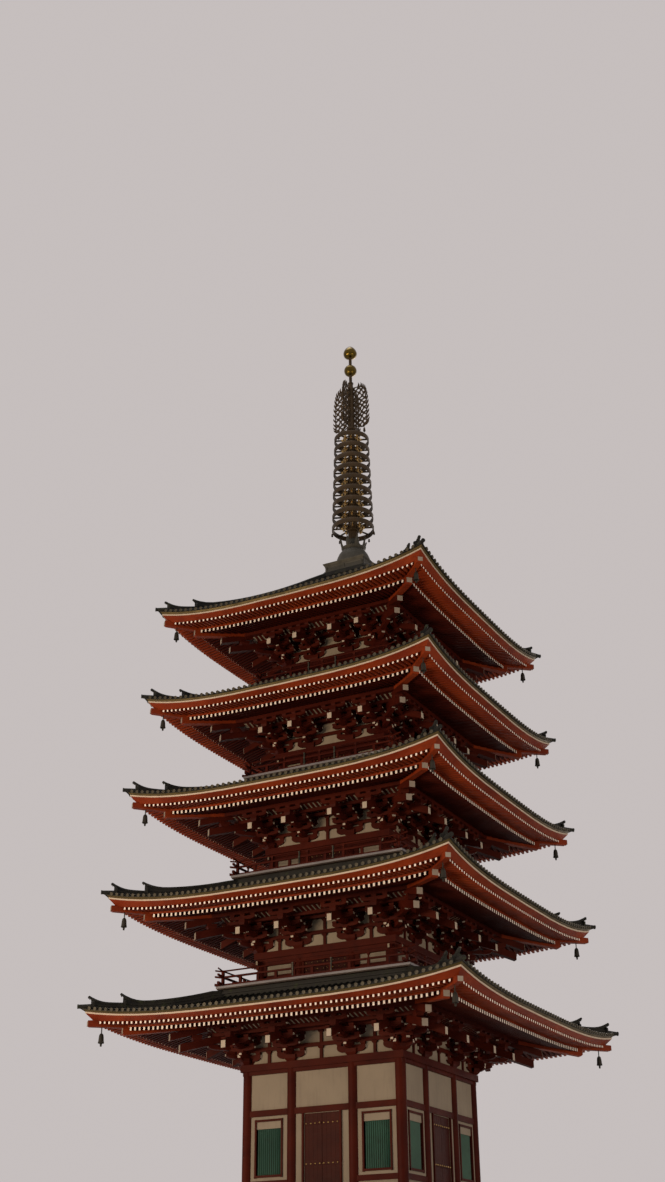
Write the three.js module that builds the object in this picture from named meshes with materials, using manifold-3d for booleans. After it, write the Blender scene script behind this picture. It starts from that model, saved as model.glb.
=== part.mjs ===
// A five-storey temple pagoda, as a 1:2 scale model of a tower 53.3 m tall.
// The tower's axis is Z and the ground is z = 0. The front faces -Y.
// Every size below is in metres of the real tower. The last lines halve it and turn it into millimetres.
import * as THREE from "three";
import { mergeVertices } from "three/addons/utils/BufferGeometryUtils.js";
import Module from "manifold-3d";

const wasm = await Module();
wasm.setup();

const modelScale = 1 / 2;
const millimetresInMetre = 1000;
const seat = 0.0008; // clear joint left between two pieces that touch
const weld = 1e-5;
const cutPast = 1; // how far a cutting block passes the face that it cuts

// Storeys from the ground up: wallHalf is the corner column's axis, eaveHalf and cornerHeight are the
// corner of the pale strip under the tiles, and sweep is how far that strip rises to its corner
const storeys = [
  [6.1, 5.3, 3.76, 12.74, 9.04, 14.74, 0.52],
  [16.15, 4.87, 3.38, 17.77, 8.53, 19.91, 0.62],
  [21.36, 4.46, 3.04, 22.79, 8.02, 24.9, 0.62],
  [26.35, 4.1, 2.73, 27.68, 7.57, 29.78, 0.62],
  [31.23, 3.78, 2.47, 32.5, 7.23, 34.6, 0.62],
].map(([floor, deckHalf, wallHalf, headPlate, eaveHalf, cornerHeight, sweep], index) => ({
  name: `storey${index + 1}`,
  roofName: `roof${index + 1}`,
  floor,
  deckHalf,
  wallHalf,
  headPlate,
  eaveHalf,
  sweep,
  eaveHeight: cornerHeight - sweep,
}));
storeys.forEach((storey, index) => {
  storey.above = storeys[index + 1];
});

const podium = { half: 8.2, height: 5, copingHalf: 8.42, copingThickness: 0.32 };
const stoneSteps = { half: 1.7, risers: 25, tread: 0.28, rampWidth: 0.35, rampHeight: 0.35 };
const plinth = { half: 4.35, ledge: 0.18 };
const timberSteps = { half: 1.05, risers: 5, tread: 0.3 };

const deck = { thickness: 0.13, hiddenFrame: 0.15 };
const veranda = { postHalf: 0.1, postInset: 0.3 };
const rail = {
  inset: 0.2,
  thickness: 0.11,
  height: 0.9,
  bars: [0.13, 0.09, 0.11],
  bays: 2,
  gateHalf: 1.1,
};

const wall = {
  columnRadius: 0.21,
  columnSides: 8,
  middleBayShare: 0.4,
  innerReach: 0.08,
  panelReach: 0.08,
  frameReach: 0.2,
  postHalf: 0.19,
  sillHeight: 0.22,
  lintelDrop: 0.62,
  headReach: 0.27,
  headHeight: 0.3,
};
const doorway = { half: 0.86, bottom: 0.3, height: 4.1, leafThickness: 0.1 };
const slatWindow = { half: 0.62, bottom: 1.7, height: 1.9 };

const bracket = {
  wallReach: 0.08,
  ledgeReach: 0.15,
  armWidth: 0.22,
  purlinOut: 1.72,
  purlinReach: 0.13,
  purlinHeight: 0.34,
};
// Side view of one stepped bracket, from the wall outwards and up from the head plate
const bracketProfile = [
  [-0.05, 0.005],
  [0.26, 0.005],
  [0.26, 0.28],
  [0.76, 0.28],
  [0.76, 0.62],
  [1.34, 0.62],
  [1.34, 0.8],
  [2.2, 0.47],
  [2.2, 0.84],
  [1.72, 1.0],
];

const eave = {
  segments: 4,
  sweepPower: 3.4,
  baseEndIn: 1.7,
  baseSlope: 0.25,
  baseBottom: -0.26,
  baseSweep: 0.58,
  flyingEndIn: 0.45,
  flyingBottom: -0.245,
  flyingRoot: -0.02,
  flyingSweep: 0.67,
  rafterDepth: 0.2,
  stripBottom: -0.05,
  stripTop: 0.06,
  boardTop: 0,
  boardSweep: 0.9,
};
const hipRafter = {
  width: 0.3,
  lowerEndIn: 1.2,
  lowerTop: -0.2,
  lowerDepth: 0.32,
  upperEndIn: 0.1,
  upperTop: -0.37,
  upperDepth: 0.25,
};
const bell = {
  inFromCorner: 0.55,
  top: -0.87,
  height: 0.42,
  radius: 0.18,
  crownRadius: 0.1,
  rodHalf: 0.03,
  sides: 6,
};

const tiles = {
  overhang: 0.15,
  thickness: 0.16,
  edgeHeight: 0.15,
  edgeLip: 0.02,
  lowRoof: { start: 0.1, curve: 0.04, rows: 2 },
  topRoof: { start: 0.25, curve: 0.052, rows: 3 },
};
const ridge = {
  width: 0.36,
  mainHeight: 0.6,
  tailHeight: 0.42,
  mainEndIn: 1.07,
  tailEndIn: 0.08,
  tipRun: 0.35,
  tipRise: 0.22,
  ringInset: 0.12,
  ringWidth: 0.34,
};

const finial = {
  segments: 12,
  mastSides: 8,
  ridgeHalf: 1.24,
  boxHalf: 1.09,
  boxBottom: 38.2,
  corniceHalf: 1.17,
  corniceBottom: 38.53,
  corniceTop: 38.72,
  bowlRadius: 0.88,
  bowlTurn: 1.25,
  bowlTop: 39.79,
  lotusNeck: 0.36,
  lotusRadius: 0.71,
  lotusTop: 40.35,
  lotusDish: 0.08,
  mastBottomRadius: 0.23,
  mastTopRadius: 0.13,
  mastTop: 51.05,
  ringCount: 9,
  ringBottom: 40.97,
  ringTop: 46.95,
  ringHeight: 0.3,
  ringThickness: 0.07,
  bottomRingRadius: 1.14,
  topRingRadius: 0.965,
  spokeWidth: 0.09,
  flameBottom: 47.3,
  flameTop: 50.7,
  flameHalf: 1.05,
  flameThickness: 0.06,
  collarRadius: 0.24,
  collarFoot: 47.64,
  ballMiddle: 51.59,
  ballRadius: 0.32,
  jewelMiddle: 52.72,
  jewelRadius: 0.355,
  tip: 53.3,
};

const finish = {
  vermilion: { color: 0x8f2312, roughness: 0.55, metalness: 0 },
  plaster: { color: 0xd9cdb4, roughness: 0.85, metalness: 0 },
  roof: { color: 0x30352f, roughness: 0.5, metalness: 0.2 },
  deckEdge: { color: 0xb8b0a2, roughness: 0.8, metalness: 0 },
  bronze: { color: 0x6d5230, roughness: 0.42, metalness: 0.9 },
  gilt: { color: 0xb98a3a, roughness: 0.35, metalness: 1 },
  stone: { color: 0xa39d90, roughness: 0.9, metalness: 0 },
};

// Turns a closed three.js geometry into a solid, with its faces pointing out
function solid(geometry) {
  const loose = geometry.index ? geometry.toNonIndexed() : geometry;
  const bare = new THREE.BufferGeometry();
  bare.setAttribute("position", loose.getAttribute("position"));
  const merged = mergeVertices(bare, weld);
  const faces = [];
  for (let i = 0; i < merged.index.count; i += 3) {
    const [a, b, c] = merged.index.array.slice(i, i + 3);
    if (a !== b && b !== c && c !== a) {
      faces.push([a, b, c]);
    }
  }
  const vertProperties = merged.attributes.position.array;
  const build = (list) =>
    new wasm.Manifold(new wasm.Mesh({ numProp: 3, vertProperties, triVerts: new Uint32Array(list.flat()) }));
  const made = build(faces);
  return made.volume() > 0 ? made : build(faces.map(([a, b, c]) => [a, c, b]));
}

function block(x0, x1, y0, y1, z0, z1) {
  const geometry = new THREE.BoxGeometry(x1 - x0, y1 - y0, z1 - z0);
  return solid(geometry.translate((x0 + x1) / 2, (y0 + y1) / 2, (z0 + z1) / 2));
}

// A square slab or post centred on the axis
function squareBlock(half, z0, z1) {
  return block(-half, half, -half, half, z0, z1);
}

// A square band: outer and inner are half-widths
function squareBand(outer, inner, z0, z1) {
  return squareBlock(outer, z0, z1).subtract(squareBlock(inner, z0 - cutPast, z1 + cutPast));
}

function join(pieces) {
  return pieces.reduce((whole, piece) => whole.add(piece));
}

// The same piece on all four sides of the tower
function onFourSides(piece) {
  return join([0, 90, 180, 270].map((turn) => piece.rotate([0, 0, turn])));
}

// How far an eave line has risen at a distance along from the middle of its side
function sweepAt(along, storey) {
  return storey.sweep * (Math.abs(along) / storey.eaveHalf) ** eave.sweepPower;
}

// The point at a distance out from the axis and a distance along one side. Side 0 is the front
function sidePoint(side, distance, along) {
  const turns = ((side % 4) + 4) % 4;
  return [
    [along, -distance],
    [distance, along],
    [-along, distance],
    [-distance, -along],
  ][turns];
}

// A closed outline swept round the square plan, with its points crowded towards the corners. Each point is
// [distance from the axis, height, share of the corner's upward sweep that it takes part in]
function squareSweep(outline, storey, segments = eave.segments) {
  const closed = [...outline, outline[0]];
  const points = closed.map(([distance, height]) => new THREE.Vector2(distance, height));
  const geometry = new THREE.LatheGeometry(points, 4 * segments, Math.PI / 4);
  const place = geometry.getAttribute("position");
  for (let i = 0; i < place.count; i++) {
    const across = place.getX(i);
    const away = place.getZ(i);
    const distance = Math.hypot(across, away);
    const turn = Math.atan2(across, away) / (Math.PI / 2);
    const side = Math.round(turn);
    const along = distance * Math.sign(turn - side) * Math.sqrt(Math.abs(turn - side) * 2);
    const share = closed[i % closed.length][2] ?? 0;
    const lift = share ? share * sweepAt(along, storey) : 0;
    const [x, y] = sidePoint(side, distance, along);
    place.setXYZ(i, x, y, place.getY(i) + lift);
  }
  return solid(geometry);
}

// A flat outline [out, up] given a width, standing in the plane x = 0 and running out along -Y
function uprightPlate(outline, width) {
  const shape = new THREE.Shape(outline.map(([out, up]) => new THREE.Vector2(out, up)));
  const geometry = new THREE.ExtrudeGeometry(shape, { depth: width, bevelEnabled: false });
  geometry.translate(0, 0, -width / 2);
  geometry.rotateX(Math.PI / 2);
  geometry.rotateZ(-Math.PI / 2);
  return solid(geometry);
}

// The same for a corner: distances are half-widths of the tower, and the plate runs out diagonally
function cornerPlate(outline, width) {
  const stretched = outline.map(([distance, up]) => [distance * Math.SQRT2, up]);
  return uprightPlate(stretched, width).rotate([0, 0, 45]);
}

function turned(profile, segments = finial.segments) {
  const points = profile.map(([radius, height]) => new THREE.Vector2(radius, height));
  return solid(new THREE.LatheGeometry(points, segments).rotateX(Math.PI / 2));
}

// Underside of the base rafters, before the corner's sweep
function rafterUnderside(distance, storey) {
  const end = storey.eaveHalf - eave.baseEndIn;
  return storey.eaveHeight + eave.baseBottom + eave.baseSlope * (end - distance);
}

function columnPlaces(storey) {
  const middle = wall.middleBayShare * storey.wallHalf;
  return [-storey.wallHalf, -middle, middle, storey.wallHalf];
}

function podiumPieces() {
  const top = podium.height - podium.copingThickness;
  const plinthFoot = podium.height + seat;
  const plinthTop = storeys[0].floor - deck.thickness - seat;
  const body = squareBlock(plinth.half, plinthFoot, plinthTop - plinth.ledge);
  return {
    stone_podium: squareBlock(podium.half, 0, top - seat),
    podium_coping: squareBlock(podium.copingHalf, top, podium.height),
    tower_plinth: body.add(squareBlock(plinth.half - plinth.ledge, plinthFoot, plinthTop)),
  };
}

// A solid flight that climbs towards +Y and ends against the face at y = end
function flight(end, bottom, top, risers, tread, half) {
  const rise = (top - bottom) / risers;
  const steps = [];
  for (let step = 1; step < risers; step++) {
    steps.push([-end + (risers - step) * tread, bottom + (step - 1) * rise]);
    steps.push([-end + (risers - step) * tread, bottom + step * rise]);
  }
  const outline = [[-end, bottom], ...steps, [-end, bottom + (risers - 1) * rise]];
  return uprightPlate(outline, 2 * half);
}

function stoneFlight() {
  const { half, risers, tread, rampWidth, rampHeight } = stoneSteps;
  const face = -podium.copingHalf - seat;
  const run = (risers - 1) * tread;
  const rise = podium.height - podium.height / risers;
  const cheek = uprightPlate(
    [
      [-face, 0],
      [-face + run + rampWidth, 0],
      [-face + run + rampWidth, rampHeight],
      [-face + rampWidth, rise + rampHeight],
      [-face, rise + rampHeight],
    ],
    rampWidth,
  );
  const side = half + rampWidth / 2 - weld;
  return join([
    flight(face, 0, podium.height, risers, tread, half),
    cheek.translate([-side, 0, 0]),
    cheek.translate([side, 0, 0]),
  ]);
}

function floorPiece(storey, below) {
  const { floor, deckHalf } = storey;
  const bottom = floor - deck.thickness;
  const slab = squareBlock(deckHalf, bottom, floor);
  if (!below) {
    const { postHalf, postInset } = veranda;
    const line = deckHalf - postInset;
    const post = block(-postHalf, postHalf, -line - postHalf, -line + postHalf, podium.height + seat, bottom + weld);
    const posts = [-line, -line / 3, line / 3].map((x) => post.translate([x, 0, 0]));
    return slab.add(onFourSides(join(posts)));
  }
  const frameOuter = below.wallHalf - seat;
  const frameFoot = rafterUnderside(below.wallHalf, below) + seat;
  return slab.add(squareBand(frameOuter, frameOuter - deck.hiddenFrame, frameFoot, bottom + weld));
}

// Ground rail, middle rail and top rail with their posts, as one square frame
function railingPiece(storey, hasGate) {
  const foot = storey.floor + seat;
  const line = storey.deckHalf - rail.inset;
  const half = rail.thickness / 2;
  const [groundBar, middleBar, topBar] = rail.bars;
  const frame = squareBand(line + half, line - half, foot, foot + rail.height);
  const gapHeight = (rail.height - groundBar - middleBar - topBar) / 2;
  const bay = (2 * line) / rail.bays;
  const gaps = [];
  for (let i = 0; i < rail.bays; i++) {
    const x = -line + bay * i + half;
    for (const z of [foot + groundBar, foot + groundBar + gapHeight + middleBar]) {
      gaps.push(block(x, x + bay - rail.thickness, -line - cutPast, line + cutPast, z, z + gapHeight));
    }
  }
  const open = join(gaps);
  const railing = frame.subtract(open).subtract(open.rotate([0, 0, 90]));
  if (!hasGate) {
    return railing;
  }
  const { gateHalf, height } = rail;
  const gate = block(-gateHalf, gateHalf, -line - cutPast, -line + cutPast, foot - cutPast, foot + height + cutPast);
  return railing.subtract(gate);
}

// One storey, hollow inside: round columns where it stands tall, and above that posts and beams of one depth,
// with the panels between them set back
function wallsPiece(storey, isGroundStorey) {
  const { wallHalf } = storey;
  const foot = storey.floor + seat;
  const head = storey.headPlate;
  const headFoot = head - wall.headHeight;
  const inner = wallHalf - wall.innerReach;
  const headPlate = squareBand(wallHalf + wall.headReach, inner, headFoot, head);
  if (!isGroundStorey) {
    const frame = squareBand(wallHalf + wall.frameReach, inner, foot, headFoot + weld);
    const places = columnPlaces(storey);
    const outer = wallHalf + wall.frameReach;
    const setBacks = [1, 2, 3].map((bay) =>
      block(
        places[bay - 1] + wall.postHalf,
        places[bay] - wall.postHalf,
        -outer - cutPast,
        -wallHalf - wall.panelReach,
        foot + wall.sillHeight,
        head - wall.lintelDrop,
      ),
    );
    return frame.subtract(onFourSides(join(setBacks))).add(headPlate);
  }
  const height = headFoot - foot + weld;
  const column = new THREE.CylinderGeometry(wall.columnRadius, wall.columnRadius, height, wall.columnSides)
    .rotateX(Math.PI / 2)
    .rotateZ(Math.PI / wall.columnSides);
  const columns = columnPlaces(storey)
    .slice(0, 3)
    .map((x) => solid(column.clone().translate(x, -wallHalf, foot + height / 2)));
  const made = join([
    squareBand(wallHalf + wall.panelReach, inner, foot, headFoot + weld),
    headPlate,
    onFourSides(join(columns)),
  ]);
  const sill = foot + doorway.bottom;
  const bayMiddle = (wallHalf * (1 + wall.middleBayShare)) / 2;
  const window = (x) =>
    block(
      x - slatWindow.half,
      x + slatWindow.half,
      -wallHalf - cutPast,
      -wallHalf + cutPast,
      sill + slatWindow.bottom,
      sill + slatWindow.bottom + slatWindow.height,
    );
  return made.subtract(onFourSides(join([doorHole(storey), window(-bayMiddle), window(bayMiddle)])));
}

function doorHole(storey) {
  const sill = storey.floor + seat + doorway.bottom;
  const face = -storey.wallHalf;
  return block(-doorway.half, doorway.half, face - cutPast, face + cutPast, sill, sill + doorway.height);
}

// A closed pair of leaves that fills the doorway
function doorPiece(storey) {
  const foot = storey.floor + doorway.bottom + 2 * seat;
  const head = storey.floor + doorway.bottom + doorway.height;
  const half = doorway.half - seat;
  const face = -storey.wallHalf;
  const depth = doorway.leafThickness / 2;
  return block(-half, half, face - depth, face + depth, foot, head);
}

// The wall between a head plate and the rafters, the stepped brackets and the eave purlin that they carry
function bracketsPiece(storey) {
  const { wallHalf } = storey;
  const foot = storey.headPlate + seat;
  const under = (distance) => rafterUnderside(distance, storey) - seat;
  const wallTop = under(wallHalf);
  const ledgeFoot = wallTop - bracket.purlinHeight;
  const outerFace = wallHalf + bracket.wallReach;
  const innerFace = wallHalf - bracket.wallReach;
  const ledge = wallHalf - bracket.ledgeReach;
  const wallBand = squareSweep(
    [
      [innerFace, foot],
      [outerFace, foot],
      [outerFace, under(outerFace)],
      [wallHalf, wallTop],
      [ledge, wallTop],
      [ledge, ledgeFoot],
      [innerFace, ledgeFoot],
    ],
    storey,
    1,
  );
  const purlinInner = wallHalf + bracket.purlinOut - bracket.purlinReach;
  const purlinOuter = wallHalf + bracket.purlinOut + bracket.purlinReach;
  const purlinFoot = under(purlinOuter) - bracket.purlinHeight;
  const purlin = squareSweep(
    [
      [purlinInner, purlinFoot],
      [purlinOuter, purlinFoot],
      [purlinOuter, under(purlinOuter)],
      [purlinInner, under(purlinInner)],
    ],
    storey,
    1,
  );
  const armTop = purlinFoot + bracket.purlinHeight / 2 - foot;
  const profile = [...bracketProfile, [bracket.purlinOut, armTop], [bracketProfile[0][0], armTop]];
  const arm = uprightPlate(profile, bracket.armWidth);
  const arms = columnPlaces(storey)
    .slice(1, 3)
    .map((x) => arm.translate([x, -wallHalf, foot]));
  const diagonal = cornerPlate(profile, bracket.armWidth).translate([wallHalf, -wallHalf, foot]);
  return join([wallBand, purlin, onFourSides(join([...arms, diagonal]))]);
}

// Two rows of rafters with their boards, the pale edge strip, the hip rafters and the wind bells
function eavesPiece(storey) {
  const { eaveHalf, wallHalf, eaveHeight } = storey;
  const baseEnd = eaveHalf - eave.baseEndIn;
  const flyingEnd = eaveHalf - eave.flyingEndIn;
  const purlinEdge = wallHalf + bracket.purlinOut + bracket.purlinReach;
  const at = (distance, drop, share) => [distance, eaveHeight + drop, share];
  const under = (distance) => rafterUnderside(distance, storey);
  const slab = squareSweep(
    [
      [wallHalf, under(wallHalf), 0],
      [purlinEdge, under(purlinEdge), 0],
      at(baseEnd, eave.baseBottom, eave.baseSweep),
      at(baseEnd, eave.flyingRoot, eave.baseSweep),
      at(flyingEnd, eave.flyingBottom, eave.flyingSweep),
      at(eaveHalf, eave.stripBottom, 1),
      at(eaveHalf, eave.stripTop, 1),
      at(flyingEnd, eave.boardTop, eave.boardSweep),
      [purlinEdge, under(purlinEdge) + eave.rafterDepth, 0],
      [wallHalf, under(wallHalf) + eave.rafterDepth, 0],
    ],
    storey,
  );
  return join([slab, onFourSides(hipRafterPiece(storey))]);
}

// Both hip rafters and the bell of the front right corner
function hipRafterPiece(storey) {
  const { eaveHalf, wallHalf, eaveHeight, sweep } = storey;
  const purlin = wallHalf + bracket.purlinOut + bracket.purlinReach;
  const lowerEnd = eaveHalf - hipRafter.lowerEndIn;
  const upperEnd = eaveHalf - hipRafter.upperEndIn;
  const lowerTop = eaveHeight + hipRafter.lowerTop + sweepAt(lowerEnd, storey);
  const purlinTop = rafterUnderside(purlin, storey) + eave.rafterDepth / 2;
  const upperTop = eaveHeight + sweep + hipRafter.upperTop;
  const outline = [
    [purlin, purlinTop - hipRafter.lowerDepth],
    [lowerEnd, lowerTop - hipRafter.lowerDepth],
    [lowerEnd, lowerTop],
    [upperEnd, upperTop - hipRafter.upperDepth],
    [upperEnd, upperTop],
    [purlin, purlinTop],
  ];
  const rafters = cornerPlate(outline, hipRafter.width);
  const cornerHeight = eaveHeight + sweep;
  const bellTop = cornerHeight + bell.top;
  const hung = turned(
    [
      [0, bellTop - bell.height],
      [bell.radius, bellTop - bell.height],
      [bell.crownRadius, bellTop],
      [0, bellTop],
    ],
    bell.sides,
  );
  const { rodHalf } = bell;
  const rod = block(-rodHalf, rodHalf, -rodHalf, rodHalf, bellTop - weld, upperTop - hipRafter.upperDepth / 2);
  const hook = eaveHalf - bell.inFromCorner;
  return rafters.add(hung.add(rod).rotate([0, 0, 45]).translate([hook, -hook, 0]));
}

// Height of the tile surface above the eave line, by the distance in from the edge
function tileRise(inwards, slope) {
  return slope.start * inwards + slope.curve * inwards ** 2;
}

// The tiled slope, its four hip ridges and the ridge round its top
function tilesPiece(storey) {
  const { eaveHalf, eaveHeight, above } = storey;
  const slope = above ? tiles.lowRoof : tiles.topRoof;
  const outer = eaveHalf + tiles.overhang;
  const ringOuter = above ? above.deckHalf - ridge.ringInset : finial.ridgeHalf;
  const ringInner = ringOuter - ridge.ringWidth;
  const inner = ringInner + seat;
  const surface = (distance) => eaveHeight + tiles.edgeHeight + tileRise(outer - distance, slope);
  const rows = [];
  for (let row = 0; row <= slope.rows; row++) {
    rows.push(outer + ((inner - outer) * row) / slope.rows);
  }
  const slab = squareSweep(
    [
      ...rows.map((distance) => [distance, surface(distance), 1]),
      ...rows
        .slice(1)
        .reverse()
        .map((distance) => [distance, surface(distance) - tiles.thickness, 1]),
      [eaveHalf, eaveHeight + eave.stripTop + seat, 1],
      [outer, eaveHeight + eave.stripTop + tiles.edgeLip, 1],
    ],
    storey,
  );
  const hipAt = (distance) => surface(distance) + sweepAt(distance, storey);
  const mainEnd = eaveHalf - ridge.mainEndIn;
  const tailEnd = eaveHalf - ridge.tailEndIn;
  const between = rows.filter((distance) => distance > inner && distance < tailEnd);
  const feet = [ringInner, ...between.reverse(), tailEnd];
  const ringTop = (above ? above.floor - deck.thickness : finial.boxBottom) - seat;
  const capped = (height) => Math.min(height, ringTop);
  const bend = (ringOuter + mainEnd) / 2;
  const outline = [
    ...feet.map((distance) => [distance, hipAt(distance) - tiles.thickness / 2]),
    [tailEnd, hipAt(tailEnd) + ridge.tailHeight + ridge.tipRise],
    [tailEnd - ridge.tipRun, hipAt(tailEnd - ridge.tipRun) + ridge.tailHeight],
    [mainEnd, hipAt(mainEnd) + ridge.tailHeight],
    [mainEnd, hipAt(mainEnd) + ridge.mainHeight + ridge.tipRise],
    [mainEnd - ridge.tipRun, hipAt(mainEnd - ridge.tipRun) + ridge.mainHeight],
    [bend, capped(hipAt(bend) + ridge.mainHeight)],
    [ringOuter, capped(hipAt(ringOuter) + ridge.mainHeight)],
    [ringInner, capped(hipAt(ringOuter) + ridge.mainHeight)],
  ];
  const hip = cornerPlate(outline, ridge.width);
  const ring = squareBand(ringOuter, ringInner, surface(ringOuter) - tiles.thickness / 2, ringTop);
  return join([slab, onFourSides(hip), ring]);
}

function squareBasePiece() {
  const { boxHalf, boxBottom, corniceHalf, corniceBottom, corniceTop } = finial;
  return squareBlock(boxHalf, boxBottom, corniceBottom).add(squareBlock(corniceHalf, corniceBottom, corniceTop));
}

function bowlPiece() {
  const { bowlRadius, bowlTurn, corniceTop, bowlTop } = finial;
  const foot = corniceTop + seat;
  const profile = [[0, foot]];
  const steps = 5;
  for (let step = 0; step <= steps; step++) {
    const turn = (step / steps) * bowlTurn;
    const rise = (bowlTop - foot) * (Math.sin(turn) / Math.sin(bowlTurn));
    profile.push([bowlRadius * Math.cos(turn), foot + rise]);
  }
  profile.push([0, bowlTop]);
  return turned(profile);
}

function lotusPiece() {
  const { bowlTop, lotusNeck, lotusRadius, lotusTop, lotusDish } = finial;
  const foot = bowlTop + seat;
  return turned([
    [0, foot],
    [lotusNeck, foot],
    [lotusNeck * 0.9, foot + 0.12],
    [lotusRadius * 0.85, foot + 0.3],
    [lotusRadius, lotusTop],
    [lotusRadius * 0.7, lotusTop - lotusDish],
    [0, lotusTop - lotusDish],
  ]);
}

function mastRadius(z) {
  const { lotusTop, mastTop, mastBottomRadius, mastTopRadius } = finial;
  return THREE.MathUtils.mapLinear(z, lotusTop, mastTop, mastBottomRadius, mastTopRadius);
}

// The mast with its nine spoked rings
function mastPiece() {
  const { lotusTop, lotusDish, mastTop, ringCount, ringBottom, ringTop, ringHeight, ringThickness } = finial;
  const foot = lotusTop - lotusDish + seat;
  const mast = turned(
    [
      [0, foot],
      [mastRadius(foot), foot],
      [mastRadius(mastTop), mastTop],
      [0, mastTop],
    ],
    finial.mastSides,
  );
  const pieces = [mast];
  for (let ring = 0; ring < ringCount; ring++) {
    const share = ring / (ringCount - 1);
    const z = THREE.MathUtils.lerp(ringBottom + ringHeight / 2, ringTop - ringHeight / 2, share);
    const radius = THREE.MathUtils.lerp(finial.bottomRingRadius, finial.topRingRadius, share);
    const half = ringHeight / 2;
    const band = turned([
      [radius - ringThickness, z - half],
      [radius, z - half],
      [radius, z + half],
      [radius - ringThickness, z + half],
      [radius - ringThickness, z - half],
    ]);
    const width = finial.spokeWidth / 2;
    const reach = radius * Math.cos(Math.PI / finial.segments) - ringThickness / 2;
    const spoke = block(-width, width, -reach, reach, z - width, z + width);
    const turn = 180 / finial.segments;
    pieces.push(band, spoke.rotate([0, 0, turn]), spoke.rotate([0, 0, turn + 90]));
  }
  return join(pieces);
}

// Four upright flame plates round a collar on the mast
function flamePiece() {
  const { flameBottom, flameTop, flameHalf, flameThickness, collarRadius, collarFoot } = finial;
  const rise = flameTop - flameBottom;
  const outline = [
    [0.2, 0.12],
    [0.62, 0.0],
    [1.0, 0.1],
    [0.93, 0.3],
    [1.0, 0.42],
    [0.8, 0.6],
    [0.82, 0.74],
    [0.5, 0.86],
    [0.2, 1.0],
  ];
  const scaled = outline.map(([out, up]) => [out * flameHalf, flameBottom + up * rise]);
  const plate = uprightPlate(scaled, flameThickness);
  const collar = turned(
    [
      [mastRadius(collarFoot) + seat, collarFoot],
      [collarRadius, collarFoot],
      [collarRadius, flameTop],
      [mastRadius(flameTop) + seat, flameTop],
      [mastRadius(collarFoot) + seat, collarFoot],
    ],
    finial.mastSides,
  );
  return join([collar, onFourSides(plate)]);
}

function ballPiece() {
  const { mastTop, ballMiddle, ballRadius, jewelMiddle, jewelRadius } = finial;
  const foot = mastTop + seat;
  const neck = 0.1;
  return turned(
    [
      [0, foot],
      [neck, foot],
      [neck, ballMiddle - ballRadius * 0.94],
      [ballRadius * 0.75, ballMiddle - ballRadius * 0.66],
      [ballRadius, ballMiddle],
      [ballRadius * 0.75, ballMiddle + ballRadius * 0.66],
      [neck, ballMiddle + ballRadius * 0.94],
      [neck, jewelMiddle - jewelRadius],
      [0, jewelMiddle - jewelRadius],
    ],
  );
}

function jewelPiece() {
  const { jewelMiddle, jewelRadius, tip } = finial;
  const foot = jewelMiddle - jewelRadius + seat;
  return turned(
    [
      [0, foot],
      [jewelRadius * 0.55, foot + 0.02],
      [jewelRadius * 0.95, jewelMiddle - jewelRadius * 0.35],
      [jewelRadius * 0.95, jewelMiddle + jewelRadius * 0.2],
      [jewelRadius * 0.45, jewelMiddle + jewelRadius * 0.85],
      [0, tip],
    ],
  );
}

const pagoda = new THREE.Group();

function addNode(name, piece, look) {
  const { vertProperties, triVerts } = piece.getMesh();
  const geometry = new THREE.BufferGeometry();
  geometry.setAttribute("position", new THREE.BufferAttribute(new Float32Array(vertProperties), 3));
  geometry.setIndex(new THREE.BufferAttribute(new Uint32Array(triVerts), 1));
  geometry.computeVertexNormals();
  const mesh = new THREE.Mesh(geometry, new THREE.MeshStandardMaterial(look));
  mesh.name = name;
  pagoda.add(mesh);
}

for (const [name, piece] of Object.entries(podiumPieces())) {
  addNode(name, piece, name === "tower_plinth" ? finish.plaster : finish.stone);
}
addNode("front_steps", stoneFlight(), finish.stone);
const verandaSteps = flight(
  -storeys[0].deckHalf - seat,
  podium.height + seat,
  storeys[0].floor,
  timberSteps.risers,
  timberSteps.tread,
  timberSteps.half,
);
addNode("veranda_steps", verandaSteps, finish.vermilion);

storeys.forEach((storey, index) => {
  const isGround = index === 0;
  addNode(`${storey.name}_floor`, floorPiece(storey, storeys[index - 1]), finish.deckEdge);
  addNode(`${storey.name}_railing`, railingPiece(storey, isGround), finish.vermilion);
  addNode(`${storey.name}_walls`, wallsPiece(storey, isGround), finish.vermilion);
  addNode(`${storey.name}_brackets`, bracketsPiece(storey), finish.vermilion);
  addNode(`${storey.roofName}_eaves`, eavesPiece(storey), finish.vermilion);
  addNode(`${storey.roofName}_tiles`, tilesPiece(storey), finish.roof);
});

["front", "right", "back", "left"].forEach((side, index) => {
  addNode(`${side}_door`, doorPiece(storeys[0]).rotate([0, 0, 90 * index]), finish.vermilion);
});

addNode("finial_base", squareBasePiece(), finish.bronze);
addNode("finial_bowl", bowlPiece(), finish.bronze);
addNode("finial_lotus", lotusPiece(), finish.bronze);
addNode("finial_mast", mastPiece(), finish.bronze);
addNode("finial_flame", flamePiece(), finish.bronze);
addNode("finial_ball", ballPiece(), finish.gilt);
addNode("finial_jewel", jewelPiece(), finish.gilt);

pagoda.scale.setScalar(modelScale * millimetresInMetre);

export default pagoda;
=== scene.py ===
import math
import random
import bmesh
import bpy
from mathutils import Matrix, Vector


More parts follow.
